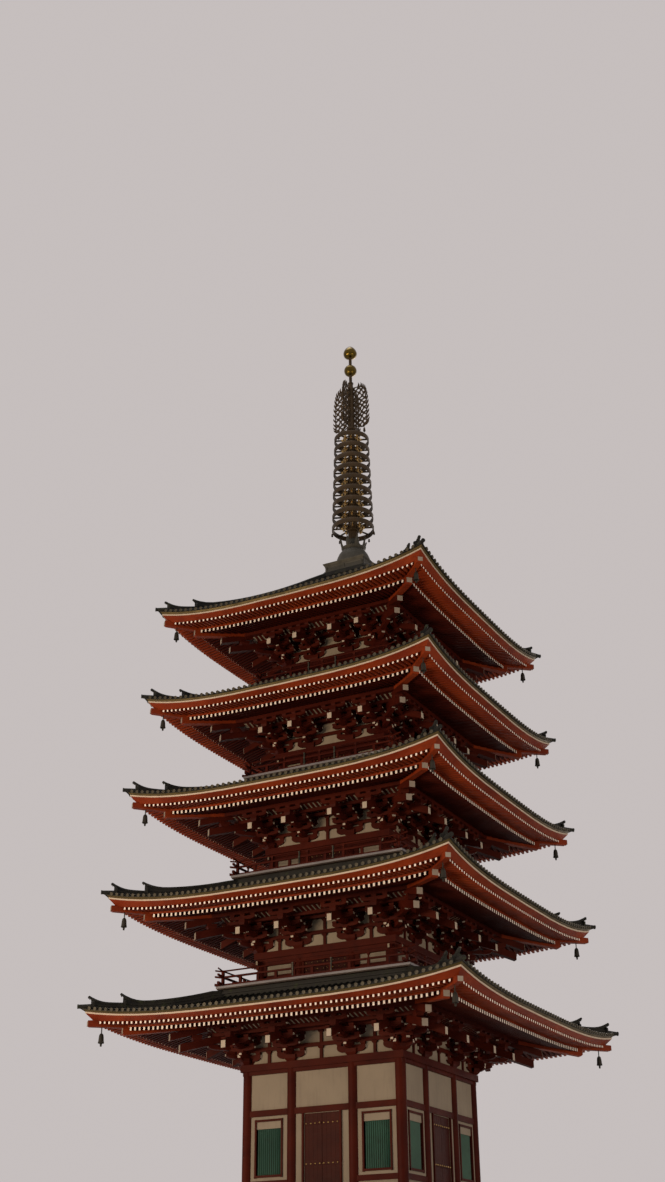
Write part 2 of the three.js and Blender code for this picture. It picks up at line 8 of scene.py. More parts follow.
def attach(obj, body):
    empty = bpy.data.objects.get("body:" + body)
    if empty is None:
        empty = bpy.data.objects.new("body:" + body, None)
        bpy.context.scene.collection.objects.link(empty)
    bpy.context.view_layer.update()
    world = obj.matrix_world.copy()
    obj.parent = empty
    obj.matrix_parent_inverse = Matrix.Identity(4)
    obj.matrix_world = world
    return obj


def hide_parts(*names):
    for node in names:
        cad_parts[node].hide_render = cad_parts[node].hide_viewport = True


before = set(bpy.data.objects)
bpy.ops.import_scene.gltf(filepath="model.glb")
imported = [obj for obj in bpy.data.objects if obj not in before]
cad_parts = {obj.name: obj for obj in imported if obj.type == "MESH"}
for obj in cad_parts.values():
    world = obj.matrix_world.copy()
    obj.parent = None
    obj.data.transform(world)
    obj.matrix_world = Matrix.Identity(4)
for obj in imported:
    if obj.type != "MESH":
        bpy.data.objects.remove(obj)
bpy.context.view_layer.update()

random.seed(5)

# All sizes below are metres of the real tower, and finishPiece halves them for the 1:2 model
tower = {
    "scale": 0.5,
    "storeys": [  # floor, deckHalf, wallHalf, headPlate, eaveHalf, cornerHeight, sweep
        (6.1, 5.3, 3.76, 12.74, 9.04, 14.74, 0.52),
        (16.15, 4.87, 3.38, 17.77, 8.53, 19.91, 0.62),
        (21.36, 4.46, 3.04, 22.79, 8.02, 24.9, 0.62),
        (26.35, 4.1, 2.73, 27.68, 7.57, 29.78, 0.62),
        (31.23, 3.78, 2.47, 32.5, 7.23, 34.6, 0.62),
    ],
    "middleBay": 0.4,
    "sweepPower": 3.4,
    "baseBack": 1.26,  # ends of the base and flying rafters, in from the eave's edge
    "flyingBack": 0.3,
    "purlinOut": 1.72,  # out from the wall
    "purlinHalf": 0.13,
    "rafterDrop": 0.39,  # underside of the base rafters' ends, below the eave's edge
    "rafterSlope": 0.258,
}


class Storey:
    def __init__(self, number, sizes):
        self.number = number
        self.floor, self.deckHalf, self.wallHalf, self.head, self.eaveHalf, corner, self.sweep = sizes
        self.eave = corner - self.sweep
        self.baseEnd = self.eaveHalf - tower["baseBack"]
        self.flyingEnd = self.eaveHalf - tower["flyingBack"]
        self.purlin = self.wallHalf + tower["purlinOut"]
        self.purlinFront = self.purlin + tower["purlinHalf"]
        self.purlinBack = self.purlin - tower["purlinHalf"]
        self.above = None
        middle = tower["middleBay"] * self.wallHalf
        self.columns = [-self.wallHalf, -middle, middle, self.wallHalf]

    def lift(self, along):
        return self.sweep * (abs(along) / self.eaveHalf) ** tower["sweepPower"]

    def underside(self, distance):  # of the base rafters, before the sweep
        return self.eave - tower["rafterDrop"] + tower["rafterSlope"] * (self.baseEnd - distance)


storeys = [Storey(number + 1, sizes) for number, sizes in enumerate(tower["storeys"])]
for lower, upper in zip(storeys, storeys[1:]):
    lower.above = upper


# Shaders

class Signal:
    def __init__(self, paint, socket):
        self.paint = paint
        self.socket = socket

    def run(self, operation, first, second=0.0):
        return self.paint.node("ShaderNodeMath", {"operation": operation}, {0: first, 1: second})

    def __add__(self, other):
        return self.run("ADD", self, other)

    def __sub__(self, other):
        return self.run("SUBTRACT", self, other)

    def __rsub__(self, other):
        return self.run("SUBTRACT", other, self)

    def __mul__(self, other):
        return self.run("MULTIPLY", self, other)

    def __truediv__(self, other):
        return self.run("DIVIDE", self, other)

    __radd__ = __add__
    __rmul__ = __mul__

    def fract(self):
        return self.run("FRACT", self)

    def floor(self):
        return self.run("FLOOR", self)

    def size(self):
        return self.run("ABSOLUTE", self)

    def larger(self, other):
        return self.run("MAXIMUM", self, other)

    def smaller(self, other):
        return self.run("MINIMUM", self, other)

    def between(self, low, high):  # 0 at low, 1 at high
        return self.paint.node("ShaderNodeMapRange", {"clamp": True}, {0: self, 1: low, 2: high})


class Paint:
    def __init__(self, name):
        self.material = bpy.data.materials.new(name)
        self.material.use_nodes = True
        self.tree = self.material.node_tree
        self.tree.nodes.clear()
        self.place = self.node("ShaderNodeTexCoord", {}, {}, "Object")

    def node(self, kind, settings, values, output=0):
        made = self.tree.nodes.new(kind)
        for key, value in settings.items():
            setattr(made, key, value)
        for key, value in values.items():
            if isinstance(value, Signal):
                self.tree.links.new(value.socket, made.inputs[key])
            else:
                made.inputs[key].default_value = value
        return Signal(self, made.outputs[output])

    def axis(self, letter, of=None):
        return self.node("ShaderNodeSeparateXYZ", {}, {0: of or self.place}, letter)

    def noise(self, scale, detail=4.0, stretch=(1, 1, 1)):
        moved = self.node("ShaderNodeMapping", {}, {"Vector": self.place, "Scale": stretch})
        return self.node("ShaderNodeTexNoise", {}, {"Vector": moved, "Scale": scale, "Detail": detail})

    def mix(self, share, first, second):
        first, second = (c if isinstance(c, Signal) else (*c, 1) for c in (first, second))
        return self.node("ShaderNodeMix", {"data_type": "RGBA"}, {0: share, 6: first, 7: second}, 2)

    def finish(self, colour, roughness, metallic=0.0, relief=None, depth=0.002, gloss=0.5):
        values = {"Base Color": colour, "Roughness": roughness, "Metallic": metallic}
        values["Specular IOR Level"] = gloss
        if relief is not None:
            bump = {"Height": relief, "Distance": depth, "Strength": 1.0}
            values["Normal"] = self.node("ShaderNodeBump", {}, bump)
        surface = self.node("ShaderNodeBsdfPrincipled", {}, values)
        output = self.tree.nodes.new("ShaderNodeOutputMaterial")
        self.tree.links.new(surface.socket, output.inputs["Surface"])
        return self.material


def timberPaint(name, deep, bright, wear, gloss=0.3):
    paint = Paint(name)
    fade = paint.noise(1.4, 3.0).between(0.35, 0.7)
    grain = paint.noise(9.0, 6.0, (1, 1, 5))
    patches = paint.noise(5.5, 5.0).between(0.56, 0.72)
    facing = paint.axis("Z", paint.node("ShaderNodeNewGeometry", {}, {}, "Normal"))
    dust = facing.between(0.3, 1.0) * grain.between(0.35, 0.75)
    colour = paint.mix(fade * 0.6 + grain * 0.4, deep, bright)
    colour = paint.mix(patches * 0.35, colour, wear)
    colour = paint.mix(dust * 0.3, colour, (0.16, 0.1, 0.07))
    return paint.finish(colour, 0.42 + grain * 0.25 + dust * 0.2, relief=grain, depth=0.004, gloss=gloss)


def platedPaint(name, base, stain, metallic, rough):
    paint = Paint(name)
    cloud = paint.noise(3.0, 5.0).between(0.4, 0.68)
    fine = paint.noise(26.0, 5.0)
    runs = paint.noise(6.0, 4.0, (3, 3, 0.35)).between(0.5, 0.75)
    colour = paint.mix(cloud * 0.5 + runs * 0.35, base, stain)
    roughness = rough + cloud * 0.16 + fine * 0.12
    return paint.finish(colour, roughness, metallic - runs * 0.25, relief=fine, depth=0.003)


def tilePaint(name, dark, pale, rowWidth, courseLength):
    paint = Paint(name)
    x = paint.axis("X").size()
    y = paint.axis("Y").size()
    course = x.larger(y) / courseLength
    row = (x.smaller(y) / rowWidth + 0.5).floor()
    level = paint.axis("Z").between(0, 30)
    cell = paint.node("ShaderNodeCombineXYZ", {}, {0: row, 1: course.floor(), 2: level})
    tone = paint.node("ShaderNodeTexWhiteNoise", {"noise_dimensions": "2D"}, {"Vector": cell})
    cloud = paint.noise(1.6, 5.0).between(0.35, 0.7)
    moss = paint.noise(7.0, 6.0).between(0.58, 0.7)
    fine = paint.noise(40.0, 4.0)
    relief = 1 - course.fract() + fine * 0.12
    seam = course.fract().between(0.0, 0.07)
    colour = paint.mix(tone * 0.55 + cloud * 0.35, dark, pale)
    colour = paint.mix(moss * 0.35, colour, (0.06, 0.075, 0.035))
    colour = paint.mix(0.55 - seam * 0.55, colour, (0.012, 0.013, 0.012))
    return paint.finish(colour, 0.5 + tone * 0.14 + moss * 0.25, relief=relief, depth=0.012, gloss=0.12)


def plasterPaint(name, base, stain):
    paint = Paint(name)
    cloud = paint.noise(2.2, 5.0).between(0.4, 0.72)
    runs = paint.noise(4.0, 5.0, (4, 4, 0.5)).between(0.52, 0.8)
    fine = paint.noise(60.0, 4.0)
    colour = paint.mix(cloud * 0.35 + runs * 0.4, base, stain)
    return paint.finish(colour, 0.78 + fine * 0.15, relief=fine)


def stonePaint(name, base, dark):
    paint = Paint(name)
    speck = paint.node("ShaderNodeTexVoronoi", {}, {"Vector": paint.place, "Scale": 55.0})
    cloud = paint.noise(1.1, 6.0).between(0.35, 0.7)
    stain = paint.noise(3.2, 6.0, (1, 1, 0.5)).between(0.55, 0.75)
    fine = paint.noise(30.0, 6.0)
    colour = paint.mix(cloud * 0.4 + speck.between(0.2, 0.7) * 0.35, base, dark)
    colour = paint.mix(stain * 0.4, colour, (0.12, 0.115, 0.09))
    return paint.finish(colour, 0.75 + fine * 0.2, relief=fine + speck * 0.2, depth=0.006)


paints, slots = {}, {}


def addPaints(make, table):  # the slot, empty where a piece has none, and the maker's own values
    for name, (slot, *values) in table.items():
        paints[name] = make(name, *values)
        slots[name] = slot


addPaints(timberPaint, {
    "vermilionTimber": (
        "vermilion_timber", (0.112, 0.012, 0.003), (0.235, 0.034, 0.006), (0.056, 0.0095, 0.003), 0.1),
    # painted shade: the vermilion paint darkened as if in shade, for base rafters, brackets, beams, coving,
    # struts, wall frames, rails and veranda steps
    "shadedVermilion": (
        "vermilion_timber", (0.03, 0.0035, 0.002), (0.066, 0.009, 0.0035), (0.018, 0.003, 0.002), 0.05),
    "doorRed": (
        "vermilion_timber", (0.024, 0.004, 0.0025), (0.05, 0.009, 0.0045), (0.015, 0.004, 0.003), 0.07),
    # painted shade: the floor slabs' edges painted dark brown, where the deck's underside lies in shade
    "shadowWood": ("", (0.03, 0.02, 0.015), (0.06, 0.042, 0.032), (0.02, 0.014, 0.01), 0.1),
    "windowGreen": ("", (0.02, 0.06, 0.04), (0.04, 0.11, 0.07), (0.02, 0.03, 0.02)),
    "deckWood": ("deck_board", (0.2, 0.17, 0.14), (0.42, 0.38, 0.33), (0.12, 0.1, 0.08)),
    "deckEdge": ("deck_board", (0.13, 0.12, 0.123), (0.24, 0.225, 0.228), (0.09, 0.083, 0.083), 0.2),
})
addPaints(plasterPaint, {
    "endWhite": ("end_white", (0.84, 0.75, 0.65), (0.6, 0.5, 0.4)),
    "stripCream": ("end_white", (0.5, 0.4, 0.3), (0.35, 0.27, 0.2)),
    "shadeWhite": ("end_white", (0.44, 0.37, 0.29), (0.3, 0.24, 0.17)),
    # painted shade: the white ends at the corners darkened as if in shade
    "shadedCornerWhite": ("end_white", (0.27, 0.22, 0.17), (0.18, 0.14, 0.1)),
    # painted shade: the white lime plaster darkened as if in shade
    "shadedPlaster": ("plaster", (0.23, 0.185, 0.13), (0.15, 0.115, 0.08)),
})
addPaints(platedPaint, {
    "gildedBoard": ("eave_gold", (0.08, 0.053, 0.011), (0.042, 0.029, 0.008), 0.6, 0.4),
    "tileEnd": ("roof_tile", (0.07, 0.057, 0.031), (0.03, 0.026, 0.017), 0.3, 0.42),
    "agedBronze": ("bronze", (0.06, 0.036, 0.015), (0.026, 0.02, 0.012), 0.75, 0.4),
    # painted shade: the wind bells' bronze darkened nearly to black as if in shade
    "shadedBellBronze": ("bronze", (0.026, 0.022, 0.014), (0.014, 0.012, 0.009), 0.5, 0.5),
    "darkPatina": ("bronze", (0.052, 0.047, 0.034), (0.029, 0.028, 0.021), 0.5, 0.5),
    "wornGilt": ("gilt", (0.56, 0.38, 0.15), (0.3, 0.19, 0.065), 1.0, 0.3),
    # painted shade: the ball and jewel take the gilt darkened as if in shade
    "shadedGilt": ("gilt", (0.12, 0.08, 0.015), (0.05, 0.036, 0.01), 1.0, 0.14),
})
addPaints(tilePaint, {
    "roofTile": ("roof_tile", (0.009, 0.0088, 0.0075), (0.025, 0.0235, 0.0195), 0.15, 0.15),
})
addPaints(stonePaint, {
    "cutGranite": ("stone", (0.46, 0.44, 0.4), (0.27, 0.26, 0.24)),
    "podiumJoints": ("", (0.2, 0.19, 0.17), (0.1, 0.095, 0.09)),
})
print("shaders made")


# Mesh tools

quarter = math.pi / 2
diagonal = math.sqrt(2)


def shiftBy(x, y, z):
    return Matrix.Translation((x, y, z))


def turnBy(angle, axis="Z"):
    return Matrix.Rotation(angle, 4, axis)


def scaleBy(x, y, z):
    return Matrix.Diagonal((x, y, z, 1))


toFront = turnBy(-quarter)  # these turn a piece made along +X, or a disc made along +Z
toHip = turnBy(-quarter / 2)
faceFront = turnBy(quarter, "X")
fourTurns = [turnBy(number * quarter) for number in range(4)]


def about(middle, half):
    return middle - half, middle + half


def spread(count, pitch):  # places in a row, as many to the left as to the right
    return [(number - (count - 1) / 2) * pitch for number in range(count)]


def marks(low, high, count):  # both ends and the divisions between equal parts
    return [low + (high - low) * number / count for number in range(count + 1)]


def pairs(values):
    return list(zip(values, values[1:]))


def vertsOf(made):
    return [item for item in made if isinstance(item, bmesh.types.BMVert)]


def turn(bm, verts, matrix):
    bmesh.ops.transform(bm, verts=verts, matrix=matrix)


def cutLong(bm, axis, cuts):  # so that a straight piece can follow a curve
    long = [edge for edge in bm.edges if abs(edge.verts[0].co[axis] - edge.verts[1].co[axis]) > 0.5]
    bmesh.ops.subdivide_edges(bm, edges=long, cuts=cuts)


def addBox(bm, x, y, z, place=Matrix()):
    size = [high - low for low, high in (x, y, z)]
    middle = [(high + low) / 2 for low, high in (x, y, z)]
    bmesh.ops.create_cube(bm, size=1, matrix=place @ Matrix.LocRotScale(middle, None, size))


def addPlate(bm, outline, width, place=Matrix()):  # outline of (along, up), thick across its middle
    corners = [bm.verts.new((along, -width / 2, up)) for along, up in outline]
    far = vertsOf(bmesh.ops.extrude_face_region(bm, geom=[bm.faces.new(corners)])["geom"])
    bmesh.ops.translate(bm, verts=far, vec=(0, width, 0))
    turn(bm, corners + far, place)


def addRoller(bm, radius, length, segments, place, tip=None):
    bmesh.ops.create_cone(bm, cap_ends=True, segments=segments, radius1=radius, radius2=tip or radius,
                          depth=length, matrix=place)


def addTurned(bm, profile, segments, middle=(0, 0, 0)):  # profile of (radius, height), closed on the axis
    rim = [bm.verts.new((radius, 0, height)) for radius, height in profile]
    edges = [bm.edges.new(pair) for pair in pairs(rim)]
    bmesh.ops.spin(bm, geom=rim + edges, axis=(0, 0, 1), steps=segments, angle=math.tau, use_merge=True)
    turned = set(rim)
    reach = list(rim)
    while reach:
        for edge in reach.pop().link_edges:
            for vert in edge.verts:
                if vert not in turned:
                    turned.add(vert)
                    reach.append(vert)
    bmesh.ops.remove_doubles(bm, verts=list(turned), dist=1e-5)
    bmesh.ops.translate(bm, verts=[vert for vert in turned if vert.is_valid], vec=middle)


def addRing(bm, outline, storey=None, segments=1):
    # A closed outline of (distance, height) runs round the square plan, and a third value in a point says how
    # far it follows the storey's corner sweep
    outline = [(*point, 0)[:3] for point in outline]
    loop = [bm.verts.new((distance, 0, height)) for distance, height, share in outline]
    turn(bm, loop, turnBy(quarter / 2))
    edges = [bm.edges.new(pair) for pair in pairs(loop + loop[:1])]
    known = set(bm.verts) - set(loop)
    bmesh.ops.spin(bm, geom=loop + edges, axis=(0, 0, 1), steps=4 * segments, angle=math.tau, use_merge=True)
    for vert in set(bm.verts) - known:
        distance = math.hypot(vert.co.x, vert.co.y)
        quarters = math.atan2(vert.co.x, -vert.co.y) / quarter
        side = round(quarters)
        off = quarters - side
        along = distance * math.copysign(math.sqrt(min(1, abs(off) * 2)), off)
        share = min((abs(d - distance) + abs(h - vert.co.z), share) for d, h, share in outline)[1]
        height = vert.co.z + (share * storey.lift(along) if storey else 0)
        vert.co = turnBy(side * quarter) @ Vector((along, -distance, height))


def boxed(inner, outer, low, high):  # the outline of a straight band
    return [(inner, low), (outer, low), (outer, high), (inner, high)]


def addBand(bm, inner, outer, low, high):
    addRing(bm, boxed(inner, outer, low, high))


def asUnit(bm):
    bmesh.ops.recalc_face_normals(bm, faces=bm.faces)
    unit = bpy.data.meshes.new("unit")
    bm.to_mesh(unit)
    bm.free()
    return unit


def stamp(bm, unit, *places):
    for place in places:
        copy = unit.copy()
        copy.transform(place)
        bm.from_mesh(copy)
        bpy.data.meshes.remove(copy)


def toFourSides(*pieces):
    for bm in pieces:
        for quarters in (2, 1):
            made = bmesh.ops.duplicate(bm, geom=bm.verts[:] + bm.edges[:] + bm.faces[:])["geom"]
            turn(bm, vertsOf(made), turnBy(quarters * quarter))


def onLine(line, distance):  # height and sweep share, from points of (distance, height, share)
    for (d0, h0, s0), (d1, h1, s1) in pairs(line):
        if distance <= d1 or (d1, h1, s1) == line[-1]:
            share = (distance - d0) / (d1 - d0)
            return h0 + (h1 - h0) * share, s0 + (s1 - s0) * share


def layOn(bm, line, storey):  # bends straight pieces of the front side on to an eave line
    for vert in bm.verts:
        height, share = onLine(line, -vert.co.y)
        vert.co.z += height + share * storey.lift(vert.co.x)


def bevelAll(bm, width):
    bmesh.ops.bevel(bm, geom=bm.edges[:], offset=width, segments=1, profile=0.5, affect="EDGES", material=-1,
                    clamp_overlap=True)


def addObject(name, data):
    made = bpy.data.objects.new(name, data)
    bpy.context.scene.collection.objects.link(made)
    return made


def finishPiece(bm, name, paint, stands=(), smooth=0):
    if len(bm.verts) == 0:  # a storey without such parts
        bm.free()
        return
    bmesh.ops.scale(bm, vec=(tower["scale"],) * 3, verts=bm.verts)
    bmesh.ops.recalc_face_normals(bm, faces=bm.faces)
    mesh = bpy.data.meshes.new(name)
    bm.to_mesh(mesh)
    bm.free()
    if smooth:
        mesh.shade_smooth()
        mesh.set_sharp_from_angle(angle=math.radians(smooth))
    mesh.materials.append(paints[paint])
    piece = addObject(name, mesh)
    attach(piece, "root")
    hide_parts(*stands)


# Eaves: boards, two rows of rafters, edge strip, hip rafters and bells

eaves = {
    "segments": 16,
    "rafters": {  # width, depth, paint
        # the base rafters take the vermilion darkened as painted shade
        "base": (0.112, 0.16, "shadedVermilion"),
        "flying": (0.1, 0.12, "vermilionTimber"),
    },
    "pitch": 0.24,
    "lastRafter": 0.32,  # in from the corner
    "shortest": 0.05,  # a shorter rafter is left out
    "endPaint": 0.012,
    "endRim": 0.011,  # timber left round the white end
    "shares": (0.63, 0.73),  # how far base and flying ends follow the corner's sweep
    "hipHalf": 0.15,
    "strip": [(-0.08, -0.03), (0, -0.035), (0, 0.035), (-0.08, 0.045)],  # out and up from the eave's edge
    "goldBoard": [(-0.12, 0.046), (0.01, 0.046), (0.07, 0.13), (-0.12, 0.13)],
}


def rafterRow(storey, name, line, start, end):
    width, depth, paint = eaves["rafters"][name]
    bm = bmesh.new()
    addBox(bm, about(0, width / 2), (-1, 0), (0, depth))
    cutLong(bm, 1, 2)
    rafter = asUnit(bm)
    bm = bmesh.new()
    rim = eaves["endRim"]
    addBox(bm, about(0, width / 2 - rim), (-end - eaves["endPaint"], -end), (rim, depth - rim))
    plate = asUnit(bm)
    timber, ends = bmesh.new(), bmesh.new()
    for x in spread(int(2 * (end - eaves["lastRafter"]) / eaves["pitch"]) + 1, eaves["pitch"]):
        root = max(start, abs(x) + eaves["hipHalf"])
        if end - root > eaves["shortest"]:
            stamp(timber, rafter, shiftBy(x, -root, 0) @ scaleBy(1, end - root, 1))
            stamp(ends, plate, shiftBy(x, 0, 0))
    for made in (timber, ends):
        layOn(made, line, storey)
    toFourSides(timber, ends)
    finishPiece(timber, f"roof{storey.number}_{name}Rafters", paint)
    finishPiece(ends, f"roof{storey.number}_{name}Ends", "endWhite")


def hipRafters(storey):
    half, top = storey.eaveHalf, storey.eave + storey.sweep
    lowerEnd, upperEnd = half - 1.2, half - 0.1
    lowerTop = storey.eave - tower["rafterDrop"] + storey.lift(lowerEnd)
    root = storey.purlin - 0.1
    rootTop = storey.underside(root) + 0.14
    lower = [(root, rootTop - 0.34), (lowerEnd - 0.06, lowerTop - 0.34), (lowerEnd, lowerTop - 0.28),
             (lowerEnd, lowerTop), (root, rootTop)]
    upper = [(lowerEnd - 0.35, lowerTop + 0.04), (lowerEnd - 0.02, lowerTop - 0.02),
             (upperEnd - 0.06, top - 0.62), (upperEnd, top - 0.57), (upperEnd, top - 0.36),
             (lowerEnd - 0.35, lowerTop + 0.36)]
    timber, ends = bmesh.new(), bmesh.new()
    for outline, width, end, whiteSpan in (
        (lower, 0.3, lowerEnd, (lowerTop - 0.27, lowerTop - 0.02)),
        (upper, 0.26, upperEnd, (top - 0.59, top - 0.385)),
    ):
        addPlate(timber, [(distance * diagonal, height) for distance, height in outline], width, toHip)
        addBox(ends, (end * diagonal, end * diagonal + 0.015), about(0, width / 2 - 0.015), whiteSpan, toHip)
    toFourSides(timber, ends)
    finishPiece(timber, f"roof{storey.number}_hipRafters", "vermilionTimber")
    finishPiece(ends, f"roof{storey.number}_hipEnds", "shadedCornerWhite")


bell = {
    "in": 0.55,  # from the eave's edge
    "top": -0.87,  # from the corner's height
    "height": 0.42,
    "radius": 0.14,
    "body": [(0, 0.1), (0.7, 0.1), (0.86, -0.02), (1, 0), (0.86, 0.22), (0.78, 0.6), (0.66, 0.85),
             (0.36, 0.98), (0, 1)],
    "clapper": [(0, -0.36), (0.28, -0.34), (0.36, -0.1), (0.16, 0.02), (0.16, 0.2), (0, 0.2)],
}


def addBell(bm, middle, height, radius):  # middle of its foot
    for part, segments in (("body", 14), ("clapper", 8)):
        addTurned(bm, [(out * radius, up * height) for out, up in bell[part]], segments, middle)


def addStem(bm, radius, low, high, x, y):
    addTurned(bm, [(0, low), (radius, low), (radius, high), (0, high)], 8, (x, y, 0))


def windBells(storey):
    bm = bmesh.new()
    place = storey.eaveHalf - bell["in"]
    top = storey.eave + storey.sweep + bell["top"]
    addBell(bm, (place, -place, top - bell["height"]), bell["height"], bell["radius"])
    addStem(bm, 0.025, top - 0.02, top + 0.27, place, -place)
    toFourSides(bm)
    finishPiece(bm, f"roof{storey.number}_bells", "shadedBellBronze", smooth=40)


def eavePieces(storey):
    half, level = storey.eaveHalf, storey.eave
    back, front = storey.purlinBack, storey.purlinFront
    baseEnd, flyingEnd = storey.baseEnd, storey.flyingEnd
    low, high = eaves["shares"]
    baseLine = [(back, storey.underside(back), 0), (front, storey.underside(front), 0),
                (baseEnd, level - tower["rafterDrop"], low)]
    flyingLine = [(baseEnd, level - 0.15, low), (flyingEnd, level - 0.29, high)]
    soffit = [(distance, height + 0.16, share) for distance, height, share in baseLine] + [
        (baseEnd, level - 0.03, low), (flyingEnd, level - 0.17, high), (flyingEnd + 0.03, level - 0.16, high),
        (half - 0.03, level - 0.055, 1), (half - 0.03, level + 0.05, 1), (flyingEnd, level + 0.03, 0.9),
        (front, storey.underside(front) + 0.2, 0), (back, storey.underside(back) + 0.2, 0),
    ]

    def atEdge(outline):
        return [(half + out, level + up, 1) for out, up in outline]

    for outline, name, paint, stands in (
        (soffit, "soffit", "vermilionTimber", [f"roof{storey.number}_eaves"]),
        (atEdge(eaves["strip"]), "edgeStrip", "stripCream", []),
        (atEdge(eaves["goldBoard"]), "tileBoard", "gildedBoard", []),
    ):
        bm = bmesh.new()
        addRing(bm, outline, storey, eaves["segments"])
        finishPiece(bm, f"roof{storey.number}_{name}", paint, stands)
    rafterRow(storey, "base", baseLine, back, baseEnd)
    rafterRow(storey, "flying", flyingLine, baseEnd - 0.01, flyingEnd)
    hipRafters(storey)
    windBells(storey)


# Roofs: tile bed, rolls of round tiles, their end caps and the hip ridges

roofing = {
    "segments": 16,
    "overhang": 0.15,
    "lift": 0.15,
    "low": (0.1, 0.04),  # slope at the edge and how fast it steepens
    "top": (0.295, 0.0447),
    "topFoot": (1.24, 38.2),  # half width and height of the top roof's inner edge
    "pitch": 0.3,
    "rollRadius": 0.07,
    "rollLift": 0.03,
    "capRadius": 0.078,
    "cap": [(0, 0), (1, 0), (1, 0.05), (0.8, 0.05), (0.72, 0.035), (0.3, 0.035), (0.2, 0.05), (0, 0.05)],
    "rows": 8,
    "footLayers": 5,
}
ridge = {
    "main": (0.53, 0.27, 0.9, 1.07),  # height, rise of the horn, run of the rise, end in from the eave
    "lowestMain": (0.41, 0.39, 0.95, 1.07),
    "tail": (0.35, 0.25, 0.7, 0.07),
    "width": 0.36,
    "courses": 5,
    "crown": 0.17,  # the round top tiles on their narrow bed
    "crownRadius": 0.085,
    "steps": 14,
    "face": [(0.23, 0), (0.2, 0.35), (0.25, 0.7), (0.24, 0.9), (0.15, 1.0), (0.07, 1.12)],  # right half
}


def addRod(bm, start, end, radius, segments=12, tip=None):  # on the front right hip, from (distance, height)
    a, b = (Vector((distance, -distance, height)) for distance, height in (start, end))
    lean = (b - a).to_track_quat("Z", "Y").to_matrix().to_4x4()
    addRoller(bm, radius, (b - a).length, segments, Matrix.Translation((a + b) / 2) @ lean, tip)


def hipRidge(stacks, crowns, start, end, sizes, hipHeight, limit=math.inf):
    height, horn, run, _ = sizes
    layers, crown, radius = ridge["courses"], ridge["crown"], ridge["crownRadius"]

    def topAt(distance, share=1.0):
        rise = share * horn * max(0, (distance - (end - run)) / run) ** 2.4
        return min(hipHeight(distance) + height + rise, limit)

    def stepsTo(last):  # closer together towards the horn
        shares = marks(0, 1, ridge["steps"])
        return [start + (last - start) * (1 - (1 - share) ** 1.5) for share in shares]

    for layer in range(layers + 1):
        isBed = layer == layers
        back = 0.1 if isBed else 0.15 + 0.03 * math.sin(math.pi * layer / layers)
        width = 0.13 if isBed else ridge["width"] * (1 - 0.05 * layer) - (0.06 if layer % 2 else 0)
        low, high = [], []
        for distance in stepsTo(end - back):
            foot, top = hipHeight(distance) - 0.1, topAt(distance, 0.45) - crown
            rise = (top - foot) / layers
            z0, z1 = foot + rise * layer, foot + rise * (layer + 1) - 0.008
            if isBed:
                z0, z1 = top - 0.02, topAt(distance) - 0.08
            low.append((distance * diagonal, z0))
            high.append((distance * diagonal, z1))
        for place in fourTurns:
            addPlate(stacks, low + high[::-1], width, place @ toHip)
    for a, b in pairs(stepsTo(end - 0.02)):
        sink, tip = (0.045, 0.045) if b > end - 0.12 else (0.08, None)
        addRod(crowns, (a, topAt(a) - 0.08), (b + 0.01, topAt(b + 0.01) - sink), radius, 10, tip)
    size = topAt(end, 0.45) - crown - hipHeight(end) + 0.1
    front = shiftBy(end - 0.15, 0.15 - end, hipHeight(end) - 0.08) @ turnBy(quarter / 2)
    face = ridge["face"] + [(-across, up) for across, up in reversed(ridge["face"])]
    addPlate(crowns, [(across, up * size) for across, up in face], 0.08, front)
    addPlate(crowns, [(across * 0.6, (up * 0.7 + 0.1) * size) for across, up in face], 0.14, front)


